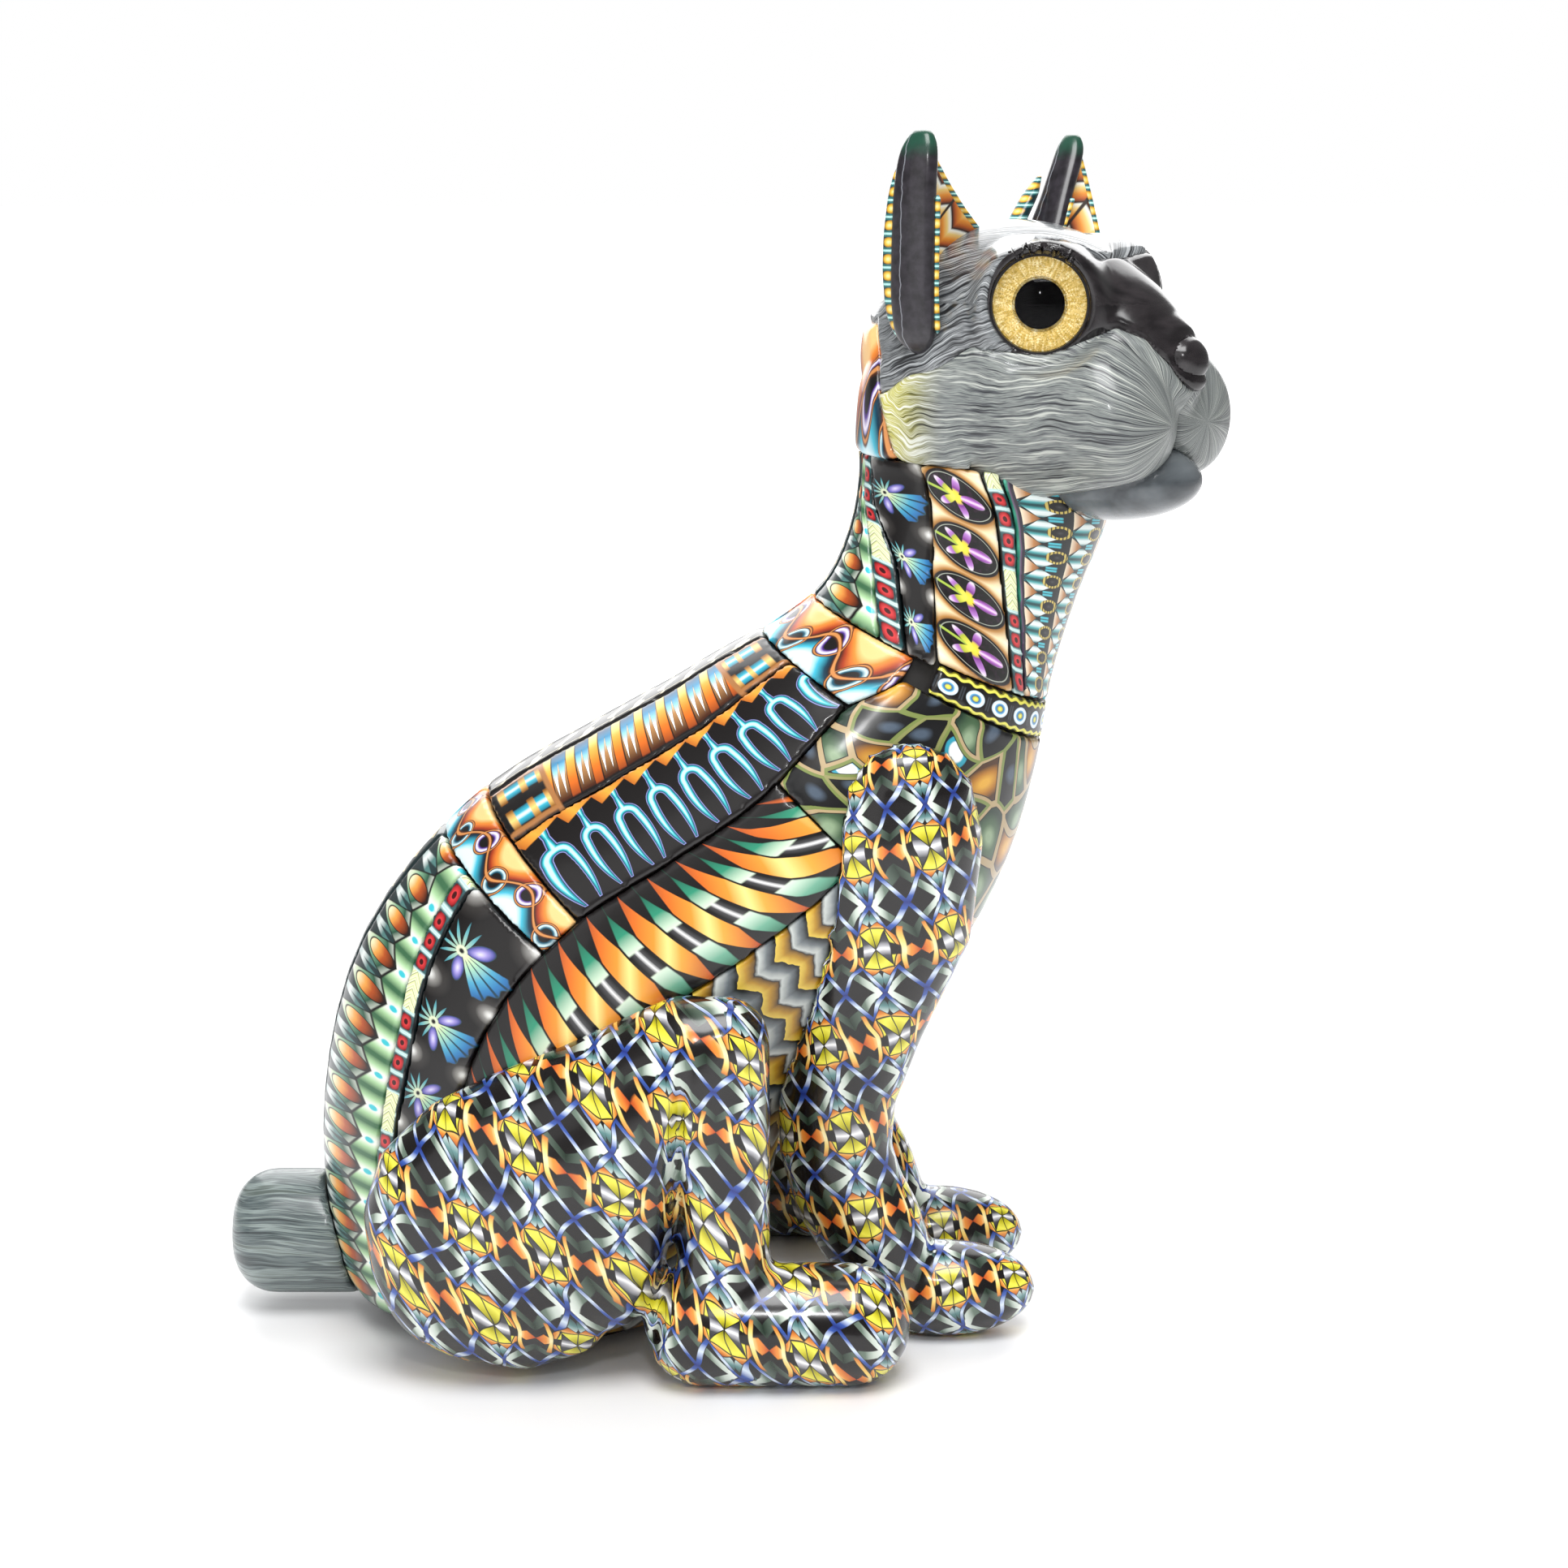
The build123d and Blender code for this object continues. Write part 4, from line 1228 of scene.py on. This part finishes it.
def lining_sheet(name, wall, edge, back, low_z):
    """Concave leaf from the wall to the far edge, set back by so much."""
    wall = np.array(wall)[:, :3]
    wall = spread(wall[(wall[:, 2] >= low_z) & (wall[:, 2] < 45.5)], EAR_ROWS + 1)
    across = np.linspace(0, 1, EAR_COLUMNS + 1)
    points = []
    for start, stop in zip(wall, spread(edge, EAR_ROWS + 1)):
        reach = min(1.0, np.linalg.norm(stop - start) / 14)
        dip = HOLLOW * np.sin(np.pi * across) * reach + back
        points.extend(start + np.outer(across, stop - start) - np.outer(dip, (0.9, 0.0, 0.15)))
    faces = []
    for row in range(EAR_ROWS):
        for column in range(EAR_COLUMNS):
            k = row * (EAR_COLUMNS + 1) + column
            faces.append((k, k + 1, k + EAR_COLUMNS + 2, k + EAR_COLUMNS + 1))
    obj = new_object(name, points, faces)
    solid = obj.modifiers.new("solid", "SOLIDIFY")
    solid.thickness = 1.2
    solid.offset = 0.0
    return obj


def settle(obj):
    """Applies and rounds an ear piece and moves it to the head; returns its points in the head's frame."""
    subdivide = obj.modifiers.new("round", "SUBSURF")
    subdivide.levels = subdivide.render_levels = 1
    apply_modifiers(obj)
    p = mesh_points(obj)
    place_points(obj, from_head(p))
    return p


def rim_tube(name, rows):
    """The charcoal wall or bead row of an ear, from its rows."""
    rows = spread(rows, 40)
    sides, ups = [(r[3], 0, 0) for r in rows], [(0, r[4], 0) for r in rows]
    return tube(name, rows[:, :3], sides, ups, ring=20, square=2.6)


def edge_tube(name, points, radius):
    """A thin round cord through points, pinched at both ends."""
    rows = spread(points, 40)
    step = np.gradient(rows, axis=0)
    step /= np.linalg.norm(step, axis=1)[:, None]
    side = np.cross(step, np.array([1.0, 0.0, 0.0]))
    side /= np.linalg.norm(side, axis=1)[:, None]
    size = np.full((40, 1), radius)
    size[0] = size[-1] = 0.3 * radius
    return tube(name, rows, side * size, np.cross(step, side) * size, ring=12)


def band_clay(a, c):
    """Charcoal with a green cast at the tip and a fine pale seam."""
    col = ramp(noise(a, c, 0.5, 3.0), (0.35, "1B181D"), (0.65, "302C33"))
    col = over(col, ink("17503C"), inside(42.0 - a + noise(a, c, 0.4) * 3.0, 2.0) * 0.8)
    seam = line(c + 2.4 - noise(a * 0.4, c * 0.1, 0.8) * 1.4, 0.12, 0.06)
    return over(col, ink("9DA0A8"), seam * 0.6)


def trim_beads(a, c):
    """Yellow beads between white bars on dark teal."""
    x = wrap(a / 3.3) - 0.5
    bar = line(abs(x) - 0.5, 0.07, 0.03)
    col = over(ink("0E3236"), ink("B4E8E2"), bar)
    col = over(col, ink("2C6F70"), line(abs(x) - 0.36, 0.05, 0.03))
    bead = dist(x / 0.30, c / 1.45)
    gold = ramp(bead, (0.0, "FFF3B0"), (0.55, "F3C43E"), (0.95, "A0701A"))
    return over(col, gold, inside(bead - 1.0, 0.08))


def lining_feathers(a, c):
    """Orange and brown feathers that fan up from the base of the ear, grey at the root."""
    turn = angle(c + 3.0, a - 14.0)
    reach = dist(c + 3.0, a - 14.0)
    lap = fold(turn * 5.2)
    row = wrap(reach / 5.0 - lap * 0.6)
    col = ramp(row, (0.0, "3A1C0C"), (0.16, "C05A18"), (0.42, "F49A30"), (0.68, "FCD880"), (0.88, "FFFFF4"),
               (0.97, "3A1C0C"))
    col = over(col, ink("2C1A10"), line(lap - 0.98, 0.05, 0.03))
    grey = ramp(wrap(turn * 5.0), (0.0, "222224"), (0.5, "C4C4C0"), (1.0, "222224"))
    return over(col, grey, inside(reach - 15.0 + noise(a, c, 0.3) * 4.0, 1.0))


def ear_back(a, c):
    """Dark and mid green bands on the back of the ear."""
    return ramp(wrap(a / 5.0 + noise(a, c, 0.2)), (0.0, "10302E"), (0.5, "2F6A5E"), (1.0, "10302E"))


def beaded(shape, rows):
    """Lays the bead pattern along an ear trim; c is measured across it."""
    p = settle(shape)
    rows = np.array(rows)
    middle = np.interp(p[:, 2], rows[:, 2], rows[:, 0])
    set_layout(shape, np.interp(p[:, 2], rows[:, 2], running_length(rows[:, :3])), p[:, 0] - middle)
    return shape


def make_ear(suffix, wall, beads, edge, inner, toward, low_z):
    """One ear: back, lining, charcoal wall and beaded trim, whose inner cord lies at inner from the wall."""
    start = np.array(wall)[1, :3]
    for stem, back, pattern, rough in (("ear", 1.4, ear_back, 0.35),
                                       ("ear_lining", 0.0, lining_feathers, 0.4)):
        node = stem + suffix
        sheet = lining_sheet(node + "_skin", wall, edge, back, low_z)
        p = settle(sheet)
        set_layout(sheet, p[:, 2], (p - start) @ np.array(toward))
        dress(sheet, node, pattern, rough=rough)
    band = rim_tube("ear_band" + suffix + "_skin", wall)
    p = settle(band)
    set_layout(band, p[:, 2], p[:, 0] - np.interp(p[:, 2], np.array(wall)[:, 2], np.array(wall)[:, 0]))
    dress(band, "ear_band" + suffix, band_clay, rough=0.3)
    seam = [(r[0] + inner[0], r[1] + inner[1], r[2]) for r in wall[2:-4]]
    trim = join_into(beaded(rim_tube("trim", beads), beads),
                     beaded(edge_tube("trim_edge", edge, 0.7), edge),
                     beaded(edge_tube("trim_seam", seam, 0.6), seam))
    trim.name = "ear_trim" + suffix + "_skin"
    dress(trim, "ear_trim" + suffix, trim_beads)


make_ear("_right", WALL_RIGHT, BEADS_RIGHT, EDGE_RIGHT, (4.9, 0.8), (0.45, 0.89, 0.0), 8)
make_ear("_left", WALL_LEFT, BEADS_LEFT, EDGE_LEFT, (3.6, 0.6), (0.45, 0.60, 0.0), 20)


# ---- eyes and hidden parts ---------------------------------------------------------------------
def iris_material():
    """Gold glitter with a painted glow: the iris gives off a little gold light of its own, so that it shows
    bright through the glass.
    """
    material, shader = new_material("gold_iris", {"Roughness": 0.5, "Emission Strength": 0.25})
    tone = feed(add_node("SeparateColor"), solid_texture("TexVoronoi", 3200.0, "Color"))
    gold = ramp(tone, (0.0, "A88428"), (0.35, "D2AC48"), (0.75, "E8CC7C"), (1.0, "FFF2C0"))
    plug(gold, shader.inputs["Base Color"])
    # painted glow: the gold colour is also given off as light, though the iris is no lamp
    plug(gold, shader.inputs["Emission Color"])
    return material


def mottled(name, scale, dark, light, rough, **more):
    """A plain material between two tones."""
    material, shader = new_material(name, {"Roughness": rough, **more})
    plug(ramp(solid_texture("TexNoise", scale), dark, light), shader.inputs["Base Color"])
    return material


def eye_glass():
    """Clear glass that lets light through to the iris and keeps its highlights."""
    material, shader = new_material("eye_glass", {"Transmission Weight": 1.0, "Roughness": 0.02, "IOR": 1.30})
    camera_ray = Val(add_node("LightPath").outputs["Is Camera Ray"])
    clear = Val(add_node("BsdfTransparent").outputs[0])
    mixed = feed(add_node("MixShader"), 1.0 - camera_ray * 0.5, Val(shader.outputs[0]), clear)
    plug(mixed, Val.tree.nodes["Material Output"].inputs["Surface"])
    return material


def cover(node, material):
    """Gives a CAD node its material."""
    NODES[node].data.materials.clear()
    NODES[node].data.materials.append(material)


CORE_TONES = (0.3, "14110F"), (0.7, "241F1C")
cover("eye_irises", iris_material())
cover("eye_lenses", eye_glass())
cover("eye_pupils", mottled("black_pupil", 900.0, (0.0, "020202"), (1.0, "050406"), 1.0,
                            **{"Specular IOR Level": 0.0}))
cover("eye_cups", mottled("socket_clay", 500.0, (0.3, "0F0C0E"), (0.7, "221E20"), 0.3))
cover("body_core", mottled("core_clay", 120.0, *CORE_TONES, 0.6))
cover("head_core", mottled("head_clay", 120.0, *CORE_TONES, 0.6))
cover("armature_wire", mottled("steel_wire", 300.0, (0.3, "6E7072"), (0.7, "9A9C9E"), 0.35, Metallic=1.0))


# ---- studio -------------------------------------------------------------------------------
def floor_material():
    """Pale floor that fades to plain white away from the figure."""
    material, shader = new_material("floor", {
        "Base Color": (0.86, 0.86, 0.87, 1.0), "Roughness": 0.55, "Emission Color": (1.0, 1.0, 1.0, 1.0)})
    split = add_node("SeparateXYZ")
    feed(split, Val(add_node("NewGeometry").outputs["Position"]))
    away = dist(Val(split.outputs[0]), Val(split.outputs[1]))
    camera_ray = Val(add_node("LightPath").outputs["Is Camera Ray"])
    plug(inside(0.30 - away, 0.14) * camera_ray * 0.9, shader.inputs["Emission Strength"])
    return material


# place, size, watts and aim of each lamp, in metres
LAMPS = {
    "key": ((0.05, -0.45, 1.1), 0.6, 9.5, (0.0, 0.0, 0.12)),
    "fill": ((-0.9, -1.0, 0.5), 1.2, 3.0, (0.0, 0.0, 0.1)),
    "window": ((0.02, -0.60, 0.46), 0.05, 0.6, (0.03, 0.0, 0.2)),
    "rim": ((0.0, 0.9, 0.75), 1.3, 13.0, (0.0, 0.0, 0.15)),
}


def studio():
    """Pale floor, soft lamps and a white surround that is dimmer in reflections."""
    bpy.ops.mesh.primitive_plane_add(size=40, location=(0, 0, 0))
    floor = bpy.context.object
    floor.name = "floor"
    floor.data.materials.append(floor_material())
    for name, (place, size, watts, aim) in LAMPS.items():
        data = bpy.data.lights.new(name, "AREA")
        data.size = size
        data.energy = watts
        lamp = bpy.data.objects.new(name, data)
        lamp.location = place
        lamp.rotation_euler = (Vector(aim) - Vector(place)).to_track_quat("-Z", "Y").to_euler()
        bpy.context.scene.collection.objects.link(lamp)
    world = bpy.data.worlds.new("studio")
    world.use_nodes = True
    Val.tree = world.node_tree
    rays = add_node("LightPath")
    seen, shiny = Val(rays.outputs["Is Camera Ray"]), Val(rays.outputs["Is Glossy Ray"])
    back = Val.tree.nodes["Background"]
    back.inputs[0].default_value = (1.0, 1.0, 1.0, 1.0)
    plug(0.62 + seen * 0.38 - shiny * 0.44, back.inputs[1])
    bpy.context.scene.world = world


VIEW_FROM = ((SHIFT + 9.9) * MM, -0.650, 0.240)
VIEW_DOWN = math.radians(11)
LENS = 72.67                # millimetres, on a sensor 36 mm wide


def camera():
    """The one camera, in front of the right flank and a little above it."""
    data = bpy.data.cameras.new("camera")
    data.sensor_width = 36.0
    data.lens = LENS
    data.clip_start = 0.01
    eye = bpy.data.objects.new("camera", data)
    eye.location = VIEW_FROM
    eye.rotation_euler = (math.pi / 2 - VIEW_DOWN, 0, 0)
    bpy.context.scene.collection.objects.link(eye)
    bpy.context.scene.camera = eye


studio()
camera()
bpy.context.scene.view_settings.view_transform = "Standard"
